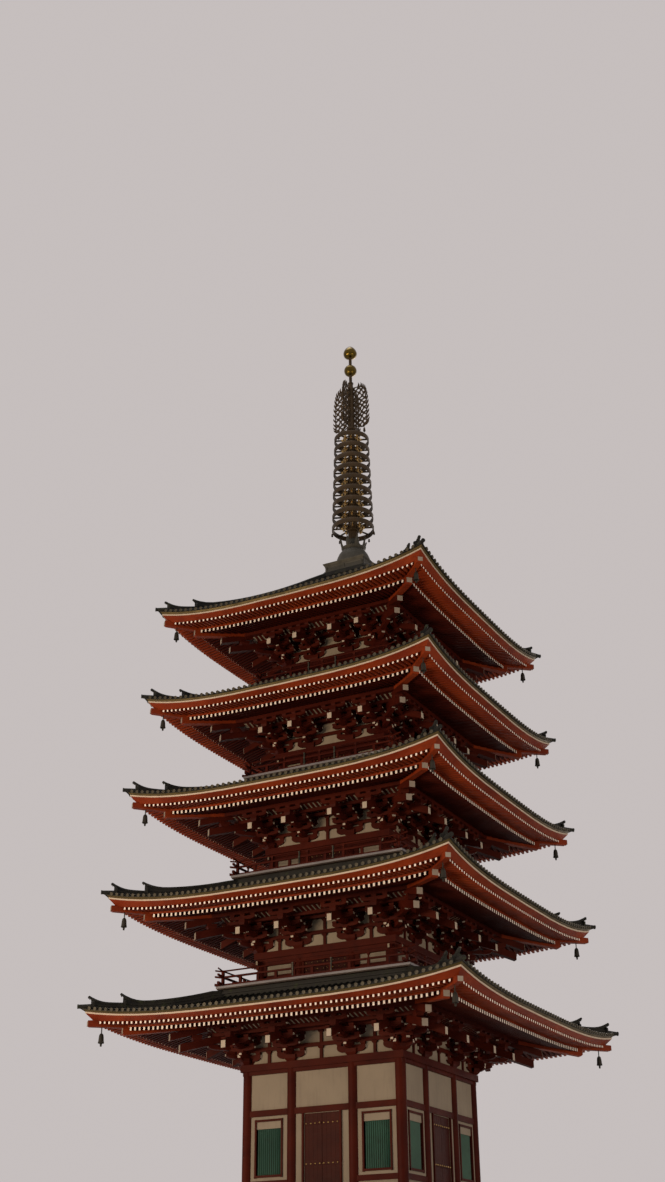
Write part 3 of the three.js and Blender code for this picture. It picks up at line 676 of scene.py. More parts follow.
def roofPieces(storey):
    n, above, half = storey.number, storey.above, storey.eaveHalf
    start, curve = roofing["low" if above else "top"]
    inner, top = (above.deckHalf - 0.12, above.floor - 0.131) if above else roofing["topFoot"]
    outer = half + roofing["overhang"]

    def surface(distance):
        inwards = outer - distance
        return storey.eave + roofing["lift"] + start * inwards + curve * inwards ** 2

    def hipHeight(distance):
        return surface(distance) + storey.lift(distance)

    bed = bmesh.new()
    over = [(distance, surface(distance), 1) for distance in marks(outer, inner - 0.2, roofing["rows"])]
    under = [(distance, height - 0.04, 1) for distance, height, _ in reversed(over)]
    addRing(bed, over + under, storey, roofing["segments"])
    finishPiece(bed, f"roof{n}_tileBed", "roofTile", [f"roof{n}_tiles"], smooth=30)

    bm = bmesh.new()
    addRoller(bm, roofing["rollRadius"], 1, 8, shiftBy(0, -0.5, 0) @ faceFront)
    cutLong(bm, 1, 5)
    roll = asUnit(bm)
    bm = bmesh.new()
    addTurned(bm, [(share * roofing["capRadius"], out) for share, out in roofing["cap"]], 12)
    turn(bm, bm.verts, faceFront)
    cap = asUnit(bm)
    rolls, caps = bmesh.new(), bmesh.new()
    for x in spread(int(2 * (outer - 0.2) / roofing["pitch"]), roofing["pitch"]):
        root = max(inner - 0.05, abs(x) + 0.12)
        stamp(rolls, roll, shiftBy(x, -root, roofing["rollLift"]) @ scaleBy(1, outer - root, 1))
        stamp(caps, cap, shiftBy(x, 0.012 - outer, roofing["rollLift"]))
    for made in (rolls, caps):
        for vert in made.verts:
            vert.co.z += surface(min(-vert.co.y, outer)) + storey.lift(vert.co.x)
    toFourSides(rolls, caps)
    finishPiece(rolls, f"roof{n}_tileRolls", "roofTile", smooth=50)
    finishPiece(caps, f"roof{n}_tileCaps", "tileEnd", smooth=35)

    stacks, crowns = bmesh.new(), bmesh.new()
    main, tail = ridge["lowestMain" if n == 1 else "main"], ridge["tail"]
    hipRidge(stacks, crowns, inner - 0.1, half - main[3], main, hipHeight, top)
    hipRidge(stacks, crowns, half - main[3] - 0.25, half - tail[3], tail, hipHeight)
    corner = outer + 0.03
    level = hipHeight(corner) + 0.05
    addRod(crowns, (corner - 0.5, hipHeight(corner - 0.5) + 0.1), (corner + 0.05, level), 0.15, 12, 0.085)
    addRod(crowns, (corner + 0.04, level), (corner + 0.07, level - 0.002), 0.1)
    for layer, (low, high) in enumerate(pairs(marks(surface(inner) - 0.05, top, roofing["footLayers"]))):
        addBand(stacks, inner - 0.3, inner - (0 if layer % 2 else 0.03), low, high - 0.012)
    toFourSides(crowns)
    finishPiece(stacks, f"roof{n}_hipRidges", "roofTile", smooth=30)
    finishPiece(crowns, f"roof{n}_ridgeTiles", "roofTile", smooth=45)


for storey in storeys:
    eavePieces(storey)
    roofPieces(storey)
print("roofs made")


# Bracket sets, their beams, the coving and the wall behind them

brackets = {  # heights are above the head plate, and out is from the wall
    "purlinFoot": 1.49,  # every height here is scaled with it to fit the storey
    "armWidth": 0.17,
    "armEnd": [(0, 1), (0, 0.55), (0.05, 0.3), (0.14, 0.1), (0.24, 0)],  # along, and up as a share of depth
    "whiteEnd": 0.012,
    "forward": [(0.76, 0.28, 0.2), (1.34, 0.64, 0.2)],  # reach, height, depth
    "sideways": [  # out, height, depth, share of the reach
        (0.1, 0.14, 0.28, 1), (0.1, 0.84, 0.26, 1), (0.6, 0.56, 0.18, 0.95),
        (0.6, 0.85, 0.18, 0.8), (1.16, 0.83, 0.2, 1), (1.72, 1.23, 0.16, 0.95),
    ],
    "blocks": [  # out, foot, height, half width
        (0, 0, 0.28, 0.27), (0.6, 0.46, 0.12, 0.14), (1.16, 0.72, 0.12, 0.14), (1.72, 0.99, 0.25, 0.16),
    ],
    "tail": [(0, 1.31), (2.2, 0.47), (2.2, 0.82), (0, 1.6)],
    "hipTails": [
        ([(1.0, 0.93), (2.25, 0.45), (2.25, 0.8), (1.0, 1.27)], 0.235),
        ([(1.4, 1.4), (2.58, 0.93), (2.58, 1.26), (1.4, 1.68)], 0.24),
    ],
    "beams": [  # out from and to, up from and to
        (0.02, 0.2, 0.53, 0.7), (0.02, 0.2, 1.24, 1.42), (0.53, 0.67, 1.14, 1.28), (1.09, 1.23, 1.2, 1.36),
    ],
    "struts": {1: (0, 1, 2), 2: (0, 1, 2), 3: (1,), 4: (), 5: ()},  # bays that have them
    "rib": [(1.15, 1.34), (1.62, 1.49), (1.62, 1.56), (1.15, 1.41)],
    "ribPitch": 0.24,
    "latticePitch": 0.3,
    "covingPanel": [(1.15, 1.37), (1.62, 1.52), (1.62, 1.55), (1.15, 1.4)],
}


def blockUnit():
    bm = bmesh.new()
    addBox(bm, (-1, 1), (-1, 1), (0.45, 1))
    under = min(bm.faces, key=lambda face: face.calc_center_median().z)
    foot = vertsOf(bmesh.ops.extrude_face_region(bm, geom=[under])["geom"])
    bmesh.ops.translate(bm, verts=foot, vec=(0, 0, -0.45))
    bmesh.ops.scale(bm, verts=foot, vec=(0.7, 0.7, 1))
    return asUnit(bm)


block = blockUnit()


def armOutline(low, high, depth):
    end = brackets["armEnd"]
    return ([(low + along, up * depth) for along, up in end]
            + [(high - along, up * depth) for along, up in reversed(end)])


def bracketUnits(half, isDiagonal=False):  # outwards is +X and the head plate is z = 0
    timber, ends = bmesh.new(), bmesh.new()
    wide, thin = brackets["armWidth"], brackets["whiteEnd"]

    def addBlock(out, z, height, size, side=0):
        stamp(timber, block, shiftBy(out, side, z) @ scaleBy(size, size, height))

    def addTail(outline, width, thick):  # thick is the white end's
        addPlate(timber, outline, width)
        end, low = outline[1]
        high = outline[2][1]
        if thick:
            addBox(ends, (end, end + thick), (-0.11, 0.11), (low + 0.02, high - 0.02))

    for out, z, height, size in brackets["blocks"]:
        addBlock(out, z, height, size)
    for reach, z, depth in brackets["forward"]:
        addPlate(timber, armOutline(-0.2, reach, depth), wide, shiftBy(0, 0, z))
        addBox(ends, (reach, reach + thin), about(0, wide / 2 - 0.02), (z + depth * 0.5, z + depth - 0.015))
    addTail(brackets["tail"], 0.24, 0 if isDiagonal else 0.015)
    if isDiagonal:
        for outline, width in brackets["hipTails"]:
            addTail(outline, width, thin)
        return asUnit(timber), asUnit(ends)
    for out, z, depth, share in brackets["sideways"]:
        reach = half * share
        addPlate(timber, armOutline(-reach, reach, depth), wide, shiftBy(out, 0, z) @ turnBy(quarter))
        for y in (-reach - thin, reach):
            addBox(ends, about(out, wide / 2 - 0.02), (y, y + thin), (z + depth * 0.5, z + depth - 0.015))
        for side in (-reach + 0.12, 0, reach - 0.12):
            addBlock(out, z + depth - 0.01, 0.13, 0.12, side)
    addBlock(0.1, 0.69, 0.16, 0.2)
    return asUnit(timber), asUnit(ends)


def bracketPieces(storey):
    n, wall, foot, columns = storey.number, storey.wallHalf, storey.head, storey.columns
    back, front = storey.purlinBack, storey.purlinFront
    purlinFoot = storey.underside(front) - 0.17
    fit = (purlinFoot - foot) / brackets["purlinFoot"]
    timberUnit, endUnit = bracketUnits(min(0.7, 0.42 * (columns[1] - columns[0])))
    hipTimber, hipEnds = bracketUnits(0, True)
    timber, ends, cornerEnds, struts, ribs, beams, plaster = (bmesh.new() for _ in range(7))
    places = [shiftBy(x, -wall, foot) @ toFront @ scaleBy(1, 1, fit) for x in columns]
    hip = shiftBy(wall, -wall, foot) @ toHip @ scaleBy(diagonal, 1.2, fit)
    stamp(timber, timberUnit, *places)
    stamp(timber, hipTimber, hip)
    stamp(ends, endUnit, *places)
    stamp(cornerEnds, hipEnds, hip)

    def up(height):
        return foot + height * fit

    def place(outline):  # of (out, height)
        return [(wall + out, up(height)) for out, height in outline]

    for bay in brackets["struts"][n]:
        x = (columns[bay] + columns[bay + 1]) / 2
        for low, high in ((0, 0.44), (0.7, 1.14)):
            addBox(struts, about(x, 0.07), (-wall - 0.15, -wall - 0.05), (up(low), up(high)))
            stamp(struts, block, shiftBy(x, -wall - 0.11, up(high) - 0.01) @ scaleBy(0.13, 0.09, 0.12 * fit))
    for x in spread(int(2 * (wall + 1.3) / brackets["ribPitch"]), brackets["ribPitch"]):
        if abs(x) < wall + 1.24:
            addPlate(ribs, place(brackets["rib"]), 0.13, shiftBy(x, 0, 0) @ toFront)
    for x in spread(int(2 * (wall + 1.1) / brackets["latticePitch"]) + 1, brackets["latticePitch"]):
        if abs(x) < wall + 1.08:
            inner = max(0.1, abs(x) - wall)
            slat = [(inner, 1.39), (1.12, 1.37), (1.12, 1.43), (inner, 1.45)]
            addPlate(ribs, place(slat), 0.06, shiftBy(x, 0, 0) @ toFront)
    toFourSides(timber, ends, cornerEnds, struts, ribs)
    for out in (0.36, 0.88):
        addRing(ribs, place(boxed(out - 0.03, out + 0.03, 1.38, 1.44)))
    for sizes in brackets["beams"]:
        addRing(beams, place(boxed(*sizes)))
    addRing(beams, [(back, purlinFoot), (front, purlinFoot), (front, storey.underside(front) - 0.002),
                    (back, storey.underside(back) - 0.002)])
    addBand(plaster, wall - 0.08, wall + 0.08, foot + 0.002, up(1.6))
    addRing(plaster, place(boxed(0.08, 1.16, 1.45, 1.48)))
    addRing(plaster, place(brackets["covingPanel"]))
    finishPiece(timber, f"storey{n}_bracketSets", "shadedVermilion", [f"storey{n}_brackets"])
    finishPiece(ends, f"storey{n}_bracketEnds", "shadeWhite")
    finishPiece(cornerEnds, f"storey{n}_cornerEnds", "shadedCornerWhite")
    finishPiece(beams, f"storey{n}_bracketBeams", "shadedVermilion")
    finishPiece(ribs, f"storey{n}_coving", "shadedVermilion")
    finishPiece(struts, f"storey{n}_struts", "shadedVermilion")
    finishPiece(plaster, f"storey{n}_bracketPanels", "shadedPlaster")


# Walls, doors and windows

walls = {
    "columnRadii": (0.2, 0.235),  # of the upper storeys and the ground storey
    "sill": 0.22,
    "boarding": 0.56,  # share of the height up to the lintel
    "lintelDrop": 0.62,
    "headReach": 0.273,
    "headHeight": 0.3,
    "planks": 4,
}
ground = {  # heights above the floor
    "rails": [((0.002, 0.3), (0, 1, 2)), ((1.55, 1.78), (0, 2)), ((4.42, 4.68), (0, 1, 2))],  # and their bays
    "door": (0.86, 0.3, 4.42),  # half width, foot, head
    "jamb": 0.08,
    "windowHalf": 0.7,
    "window": (1.9, 4.3),
    "barHalf": 0.028,
    "barReach": 0.56,
    "barSpaces": 11,
}


def addDoorLeaves(boards, metal, half, face, low, high, stud):  # a closed pair on the front side
    bm = bmesh.new()
    addTurned(bm, [(0, 0), (stud, 0), (stud, 0.01), (stud * 0.6, 0.03), (0, 0.038)], 8)
    turn(bm, bm.verts, faceFront)
    boss = asUnit(bm)
    plank = (half - 0.01) / walls["planks"]
    for side in (-1, 1):
        for number in range(walls["planks"]):
            x = sorted((side * (0.01 + number * plank), side * (0.004 + (number + 1) * plank)))
            addBox(boards, x, (-face - 0.03, -face), (low, high))
        for share in (0.08, 0.5, 0.9):
            z = low + (high - low) * share
            x = sorted((side * 0.02, side * (half - 0.01)))
            addBox(boards, x, (-face - 0.055, -face - 0.02), about(z, 0.06))
            for out in marks(0.1, half - 0.1, 3):
                stamp(metal, boss, shiftBy(side * out, -face - 0.054, z))


def wallPieces(storey):
    n, wall, floor, columns = storey.number, storey.wallHalf, storey.floor, storey.columns
    isGround = n == 1
    timber, plaster, boards, metal, bars = (bmesh.new() for _ in range(5))

    def add(bm, x, out, z):  # out from the wall, and up from the floor
        addBox(bm, x, (-wall - out[1], -wall - out[0]), (floor + z[0], floor + z[1]))

    radius = walls["columnRadii"][isGround]
    low, high = floor + 0.002, storey.head - 0.02
    column = [(0, low), (radius, low), (radius, high - 0.25), (radius * 0.94, high), (0, high)]
    for x in columns[:3]:
        addTurned(timber, column, 16, (x, -wall, 0))
    if isGround:
        for z, bays in ground["rails"]:
            for bay in bays:
                add(timber, columns[bay:bay + 2], (0.06, 0.15), z)
        half, foot, head = ground["door"]
        jamb, window = ground["jamb"], ground["windowHalf"]
        for x in (-half - 0.02 - jamb, half + 0.02):
            add(timber, (x, x + jamb), (0.06, 0.17), (foot, head))
        addDoorLeaves(boards, metal, half, wall + 0.051, floor + foot + 0.01, floor + head - 0.03, 0.035)
        foot, head = ground["window"]
        for middle in ((columns[0] + columns[1]) / 2, (columns[2] + columns[3]) / 2):
            for x in (middle - window, middle + window - jamb):
                add(timber, (x, x + jamb), (-0.06, 0.13), (foot, head))
            for z in (foot + 0.02, head - 0.1):
                add(timber, about(middle, window), (-0.06, 0.14), (z, z + 0.09))
            for x in marks(*about(middle, ground["barReach"]), ground["barSpaces"]):
                thick = about(0, ground["barHalf"])
                place = shiftBy(x, -wall, floor) @ turnBy(quarter / 2)
                addBox(bars, thick, thick, (foot + 0.08, head - 0.08), place)
    else:
        head = storey.head - floor
        sill, lintel = walls["sill"], head - walls["lintelDrop"]
        opening = (sill, lintel)
        for z in ((0.002, sill), (lintel, lintel + 0.2)):
            add(timber, about(0, wall + 0.15), (-0.06, 0.15), z)
        for x0, x1, first, last in ((*columns[:2], 0.32, 0.4), (*columns[2:], 0.4, 0.32)):
            add(plaster, (x0, x1), (-0.03, 0.05), opening)
            add(timber, (x0, x1), (-0.04, 0.1), (sill, lintel * walls["boarding"]))
            add(timber, (x0, x0 + first), (-0.04, 0.1), opening)
            add(timber, (x1 - last, x1), (-0.04, 0.1), opening)
        add(plaster, (-wall, wall), (-0.03, 0.06), (lintel + 0.2, head - walls["headHeight"]))
        half = columns[2] - 0.26
        for x in (-half - 0.1, half):
            add(timber, (x, x + 0.1), (-0.04, 0.12), opening)
        addDoorLeaves(boards, metal, half, wall + 0.02, floor + sill, floor + lintel, 0.025)
        for x in (-wall, wall):
            add(timber, about(x, 0.06), (0.1, 0.46), (lintel + 0.02, lintel + 0.22))
            add(plaster, about(x, 0.045), (0.46, 0.468), (lintel + 0.035, lintel + 0.205))
    toFourSides(timber, plaster, boards, metal, bars)
    plate = storey.head - walls["headHeight"]
    addBand(timber, wall - 0.02, wall + walls["headReach"], plate, storey.head)
    addBand(timber, wall + 0.05, wall + 0.19, plate - 0.16, plate + 0.01)
    finishPiece(timber, f"storey{n}_frame", "shadedVermilion", [] if isGround else [f"storey{n}_walls"], smooth=35)
    finishPiece(boards, f"storey{n}_doors", "doorRed")
    finishPiece(metal, f"storey{n}_studs", "wornGilt", smooth=40)
    finishPiece(bars, f"storey{n}_windowBars", "windowGreen")
    finishPiece(plaster, f"storey{n}_panels", "shadedPlaster")


# Balconies

railing = {  # heights above the deck
    "inset": 0.2,
    "rails": ((0.08, 0.06, 0.06), (0.45, 0.05, 0.04)),  # height, half width, half depth
    "topRail": (0.73, 0.037),  # height and radius
    "overshoot": 0.42,
    "rise": 0.07,
    "cuts": 31,  # for the rise of the rails' ends
    "postPitch": 0.95,
    "postTops": (0.42, 0.7, 0.95),  # between, at the corners and at the gate
    "knob": [(0, 0.93), (0.06, 0.93), (0.075, 0.99), (0.05, 1.05), (0, 1.08)],
    "strapAt": 0.2,  # share of the deck's half width
    "strapBands": (0.13, 0.42, 0.66),
    "gateHalf": 1.1,
}
deck = {
    "boardPitch": 0.24,
    "edge": [(-0.005, -0.08), (0.03, -0.08), (0.035, -0.03), (0.03, 0.018), (-0.005, 0.018)],
}


def railUnit(line, hasGate):  # one side's railing on a deck at z = 0
    bm = bmesh.new()
    gate, over = railing["gateHalf"], railing["overshoot"]
    between, corner, gatePost = railing["postTops"]
    for start, end in ((-line, -gate), (gate, line)) if hasGate else ((-line, line),):
        low = start - over if start == -line else start
        high = end + over if end == line else end
        for height, wide, deep in railing["rails"]:
            addBox(bm, (low, high), about(-line, wide), about(height, deep))
        height, radius = railing["topRail"]
        addRoller(bm, radius, high - low, 10, shiftBy((low + high) / 2, -line, height) @ turnBy(quarter, "Y"))
        cutLong(bm, 0, railing["cuts"])
        count = max(1, round((end - start) / railing["postPitch"]))
        for number, x in enumerate(marks(start, end, count)):
            isEnd = number in (0, count)
            isGatePost = isEnd and hasGate and abs(x) < line - 0.1
            top = gatePost if isGatePost else corner if isEnd else between
            addBox(bm, about(x, 0.065), about(-line, 0.05), (0.13, top))
            if isGatePost:
                addTurned(bm, railing["knob"], 12, (x, -line, 0))
            elif number % 2 == 0 and not isEnd:
                addBox(bm, about(x, 0.03), about(-line, 0.03), (0.48, 0.64))
                stamp(bm, block, shiftBy(x, -line, 0.62) @ scaleBy(0.07, 0.055, 0.08))
    for vert in bm.verts:
        past = max(0, abs(vert.co.x) - line)
        vert.co.z += railing["rise"] * (past / over) ** 2
    return asUnit(bm)


def balconyPieces(storey):
    n, floor, half = storey.number, storey.floor, storey.deckHalf
    line = half - railing["inset"]
    rails, straps, boards, edge = (bmesh.new() for _ in range(4))
    for side, place in enumerate(fourTurns):
        stamp(rails, railUnit(line, n == 1 and side == 0), place @ shiftBy(0, 0, floor))
    finishPiece(rails, f"storey{n}_rails", "shadedVermilion", [f"storey{n}_railing"], smooth=40)
    for x in about(0, railing["strapAt"] * half) if n > 1 else ():
        addBox(straps, about(x, 0.022), (-line - 0.075, -line + 0.03), (floor + 0.12, floor + 0.69))
        for z in railing["strapBands"]:
            addBox(straps, about(x, 0.04), (-line - 0.09, -line + 0.03), (floor + z, floor + z + 0.05))
    toFourSides(straps)
    finishPiece(straps, f"storey{n}_railStraps", "darkPatina")
    inner = storey.wallHalf + 0.16
    for low, high in pairs(marks(inner, half, round((half - inner) / deck["boardPitch"]))):
        addBand(boards, low + 0.008, high, floor - 0.01, floor + 0.012)
    finishPiece(boards, f"storey{n}_boards", "deckWood")
    addRing(edge, [(half + out, floor + up) for out, up in deck["edge"]])
    finishPiece(edge, f"storey{n}_deckEdge", "deckEdge")


for storey in storeys:
    bracketPieces(storey)
    wallPieces(storey)
    balconyPieces(storey)
print("storeys made")


# Finial: base, bowl, lotus, mast with its rings, flame plates, ball and jewel

finial = {
    "boxHalf": 1.09,
    "boxFoot": 38.2,
    "box": [(0.08, 0), (0.08, 0.05), (0.035, 0.07), (0.03, 0.27), (0.05, 0.33), (0.06, 0.38), (0.12, 0.46),
            (0.14, 0.52)],  # out from the half width, up from the foot
    "bowl": [(0, 38.72), (1.04, 38.72), (1.04, 38.76), (0.98, 38.79), (0.94, 38.86), (0.93, 39.0),
             (0.885, 39.24), (0.79, 39.47), (0.66, 39.66), (0.56, 39.74), (0.53, 39.79), (0, 39.79)],
    "cup": [(0, 39.77), (0.54, 39.77), (0.56, 39.8), (0.63, 39.86), (0.64, 39.91), (0.58, 39.93),
            (0.42, 39.92), (0.38, 39.97), (0.4, 40.06), (0.4, 40.14), (0.34, 40.22), (0.32, 40.42),
            (0, 40.42)],
    "petals": 8,
    "petalFoot": (0.6, 39.86),
    "petalReach": 0.12,
    "petalRise": 0.57,
    "mast": (40.42, 50.72, 0.28, 0.135),  # foot, top and the radii there
    "collar": [(0, -0.19), (0.06, -0.17), (0.075, 0), (0.06, 0.17), (0, 0.19)],
    "rings": 9,
    "ringHeights": (41.12, 46.8),
    "ringRadii": (1.14, 0.965),
    "ringBand": (0.27, 0.05),  # height and thickness
    "spokes": 8,
    "flame": [(0.12, 0.1), (0.45, 0.02), (0.75, 0.0), (0.98, 0.06), (0.98, 0.2), (1.0, 0.4), (0.98, 0.6),
              (0.94, 0.77), (0.85, 0.9), (0.68, 0.975), (0.42, 1.0), (0.12, 1.0)],
    "flameSpan": (47.55, 50.38, 1.02),  # foot, top and reach
    "flameCell": 0.36,
    "flameCuts": (-12, 30),  # in cells from the foot
    "flameLean": 1.05,
    "flameShift": 0.05,
    "hooks": 13,
    "hook": [(-0.07, -0.06), (0.03, -0.05), (0.15, 0.06), (0.2, 0.2), (0.11, 0.12), (-0.05, 0.06)],
    "ball": (51.59, 0.36),  # middle and radius
    "jewel": (52.76, 0.39, 53.3),  # middle, radius and tip
    "drop": [(0, -0.76), (0.3, -0.74), (0.5, -0.68), (0.75, -0.52), (0.93, -0.28), (1, 0), (0.98, 0.22),
             (0.9, 0.46), (0.78, 0.68), (0.62, 0.88), (0.46, 1.04), (0.31, 1.17), (0.16, 1.27), (0, 1.32)],
}


def turnedPiece(name, paint, profile, segments, node, smooth=40):  # stands for one node
    bm = bmesh.new()
    addTurned(bm, profile, segments)
    finishPiece(bm, name, paint, [node], smooth)


def petalUnit():
    bm = bmesh.new()
    foot, level = finial["petalFoot"]
    bmesh.ops.create_grid(bm, x_segments=4, y_segments=6, size=1)
    for vert in bm.verts:
        across, along = vert.co.x, (vert.co.y + 1) / 2
        width = 0.115 * math.sin(math.pi * (0.35 + 0.63 * along)) ** 0.8
        out = foot + finial["petalReach"] * math.sin(quarter * min(1, along * 2)) - 0.06 * across ** 2
        vert.co = (out + 0.2 * max(0, along - 0.7), across * width, level + finial["petalRise"] * along)
    bmesh.ops.solidify(bm, geom=bm.faces[:], thickness=0.05)
    return asUnit(bm)


def finialFoot():
    bm = bmesh.new()
    half, foot = finial["boxHalf"], finial["boxFoot"]
    box = [(half + out, foot + up) for out, up in finial["box"]]
    addRing(bm, [(0.3, foot), *box, (0.3, box[-1][1])])
    for x in (-half + 0.06, 0, half - 0.06):
        for place in fourTurns:
            addBox(bm, about(x, 0.045), (-half - 0.055, -half), (foot + 0.05, foot + 0.34), place)
    finishPiece(bm, "finial_box", "darkPatina", ["finial_base"])
    turnedPiece("finial_invertedBowl", "darkPatina", finial["bowl"], 40, "finial_bowl", 35)
    bm = bmesh.new()
    addTurned(bm, finial["cup"], 32)
    stamp(bm, petalUnit(), *(turnBy(angle) for angle in marks(0, math.tau, finial["petals"])[:-1]))
    finishPiece(bm, "finial_petals", "darkPatina", ["finial_lotus"], smooth=45)


def mastRadius(z):
    foot, top, wide, thin = finial["mast"]
    return wide + (thin - wide) * (z - foot) / (top - foot)


def finialMast():
    foot, top, _, _ = finial["mast"]
    wide, thin = mastRadius(foot), mastRadius(top)
    heights = marks(*finial["ringHeights"], finial["rings"] - 1)
    radii = marks(*finial["ringRadii"], finial["rings"] - 1)
    profile = [(0, foot), (wide + 0.05, foot), (wide + 0.05, foot + 0.1), (wide, foot + 0.14)]
    for z in heights:
        profile += [(mastRadius(z) + out, z + up) for out, up in finial["collar"]]
    profile += [(thin, top - 0.05), (thin + 0.03, top - 0.03), (thin + 0.03, top), (0, top)]
    turnedPiece("finial_pole", "agedBronze", profile, 20, "finial_mast", 35)
    rings, crosses = bmesh.new(), bmesh.new()
    height, thick = finial["ringBand"]
    spokes = [turnBy((number + 0.5) * math.tau / finial["spokes"]) for number in range(finial["spokes"])]
    for z, radius in zip(heights, radii):
        low, high = about(z, height / 2)
        addTurned(rings, [(radius - thick, low), (radius, low), (radius + 0.012, low + 0.03),
                          (radius + 0.004, z), (radius + 0.012, high - 0.03), (radius, high),
                          (radius - thick, high), (radius - thick, low)], 32)
        middle, level = radius * 0.46, z + 0.07
        inner = boxed(*about(middle, 0.02), *about(level, 0.035))
        addTurned(rings, inner + inner[:1], 16)
        for place in spokes:
            addBox(rings, (mastRadius(z), radius - thick / 2), about(0, 0.02), about(level, 0.045), place)
            addBox(crosses, about(middle, 0.12), about(0, 0.042), about(level, 0.05), place)
            addBox(crosses, about(middle, 0.035), about(0, 0.042), about(level, 0.15), place)
    for place in spokes:
        addBell(rings, place @ Vector((radii[0], 0, heights[0] - 0.36)), 0.17, 0.06)
    finishPiece(rings, "finial_rings", "agedBronze", smooth=40)
    finishPiece(crosses, "finial_crosses", "wornGilt", smooth=30)


def flamePlate():  # one plate of the openwork flame, standing out along +X
    foot, top, reach = finial["flameSpan"]
    line = [(out * reach, foot + up * (top - foot)) for out, up in finial["flame"]]
    bm = bmesh.new()
    bm.faces.new([bm.verts.new((x, 0, z)) for x, z in line])
    for number in range(*finial["flameCuts"]):
        level = foot + number * finial["flameCell"]
        for lean in (finial["flameLean"], -finial["flameLean"]):
            bmesh.ops.bisect_plane(bm, geom=bm.verts[:] + bm.edges[:] + bm.faces[:], plane_co=(0, 0, level),
                                   plane_no=(lean, 0, 1))
    bmesh.ops.dissolve_degenerate(bm, edges=bm.edges[:], dist=0.05)
    shift = finial["flameShift"]
    inside = [vert for vert in bm.verts if not vert.is_boundary]
    for vert in inside:
        vert.co += Vector((random.uniform(-shift, shift), 0, random.uniform(-shift, shift)))
    bmesh.ops.bevel(bm, geom=inside, offset=0.075, affect="VERTICES", segments=1, profile=0.5, material=-1)
    holes = [face for face in bm.faces if face.calc_area() > 0.016]
    bmesh.ops.inset_individual(bm, faces=holes, thickness=0.034, use_even_offset=True)
    bmesh.ops.delete(bm, geom=holes, context="FACES")
    bmesh.ops.solidify(bm, geom=bm.faces[:], thickness=0.045)
    for share in marks(0.1, 0.96, finial["hooks"] - 1):
        step = share * (len(line) - 4) + 2
        at = min(int(step), len(line) - 2)
        (x0, z0), (x1, z1) = line[at:at + 2]
        place = shiftBy(x0 + (x1 - x0) * (step - at), 0, z0 + (z1 - z0) * (step - at))
        addPlate(bm, finial["hook"], 0.04, place @ turnBy(-0.95 * share, "Y"))
    return asUnit(bm)


def finialFlame():
    foot, top, reach = finial["flameSpan"]
    bm = bmesh.new()
    stamp(bm, flamePlate(), *fourTurns)
    addTurned(bm, [(0, foot - 0.05), (0.25, foot - 0.05), (0.27, foot + 0.02), (0.2, foot + 0.1),
                   (0.175, top - 0.2), (0.2, top - 0.1), (0.17, top + 0.02), (0, top + 0.02)], 20)
    for place in fourTurns:
        x, y, z = place @ Vector((reach * 0.8, 0, foot))
        addBell(bm, (x, y, z - 0.32), 0.24, 0.075)
        addStem(bm, 0.012, z - 0.1, z + 0.04, x, y)
    finishPiece(bm, "finial_openwork", "agedBronze", ["finial_flame"], smooth=40)


def finialTip():
    middle, radius = finial["ball"]
    jewel, wide, tip = finial["jewel"]
    arc = [(radius * math.sin(angle), middle - radius * math.cos(angle))
           for angle in marks(math.pi * 0.1, math.pi * 0.9, 14)]
    turnedPiece("finial_giltBall", "shadedGilt", [(0, arc[0][1]), *arc, (0, arc[-1][1])], 32, "finial_ball")
    rods = bmesh.new()
    for low, high in ((finial["mast"][1], arc[0][1] + 0.02), (arc[-1][1] - 0.02, jewel - wide * 0.7)):
        addTurned(rods, [(0, low), (0.1, low), (0.1, low + 0.05), (0.088, low + 0.08), (0.088, high - 0.08),
                         (0.11, high - 0.04), (0.11, high), (0, high)], 16)
    finishPiece(rods, "finial_rods", "agedBronze", smooth=40)
    height = (tip - jewel) / finial["drop"][-1][1]
    drop = [(out * wide, jewel + up * (height if up > 0 else wide)) for out, up in finial["drop"]]
    turnedPiece("finial_giltJewel", "shadedGilt", drop, 32, "finial_jewel")


finialFoot()
finialMast()
finialFlame()
finialTip()
print("finial made")


# Stone podium, its coping and paving, and the two flights of steps

podium = {
    "half": 8.2,
    "height": 5.0,
    "coping": 0.32,
    "copingHalf": 8.42,
    "copingWidth": 0.9,
    "copingLength": 1.4,
    "courses": 8,
    "blockLength": 1.18,
    "joint": 0.012,
    "fineJoint": 0.006,
    "proud": 0.035,
    "slab": 1.05,
}
flights = {  # front is the face that a flight leads up to
    "podium_stepTreads": {
        "paint": "cutGranite", "front": podium["copingHalf"], "foot": 0, "top": podium["height"],
        "risers": 25, "tread": 0.28, "half": 1.7, "stones": 3, "gap": 0.006, "thick": 0.13, "nosing": 0.025,
        "bevel": 0.01, "clear": 0.004,
    },
    "veranda_treads": {
        "paint": "deckWood", "front": storeys[0].deckHalf, "foot": podium["height"], "top": storeys[0].floor,
        "risers": 5, "tread": 0.3, "half": 1.1, "stones": 1, "gap": 0, "thick": 0.04, "nosing": 0.03,
        "bevel": 0.008, "clear": 0.004,
    },
}


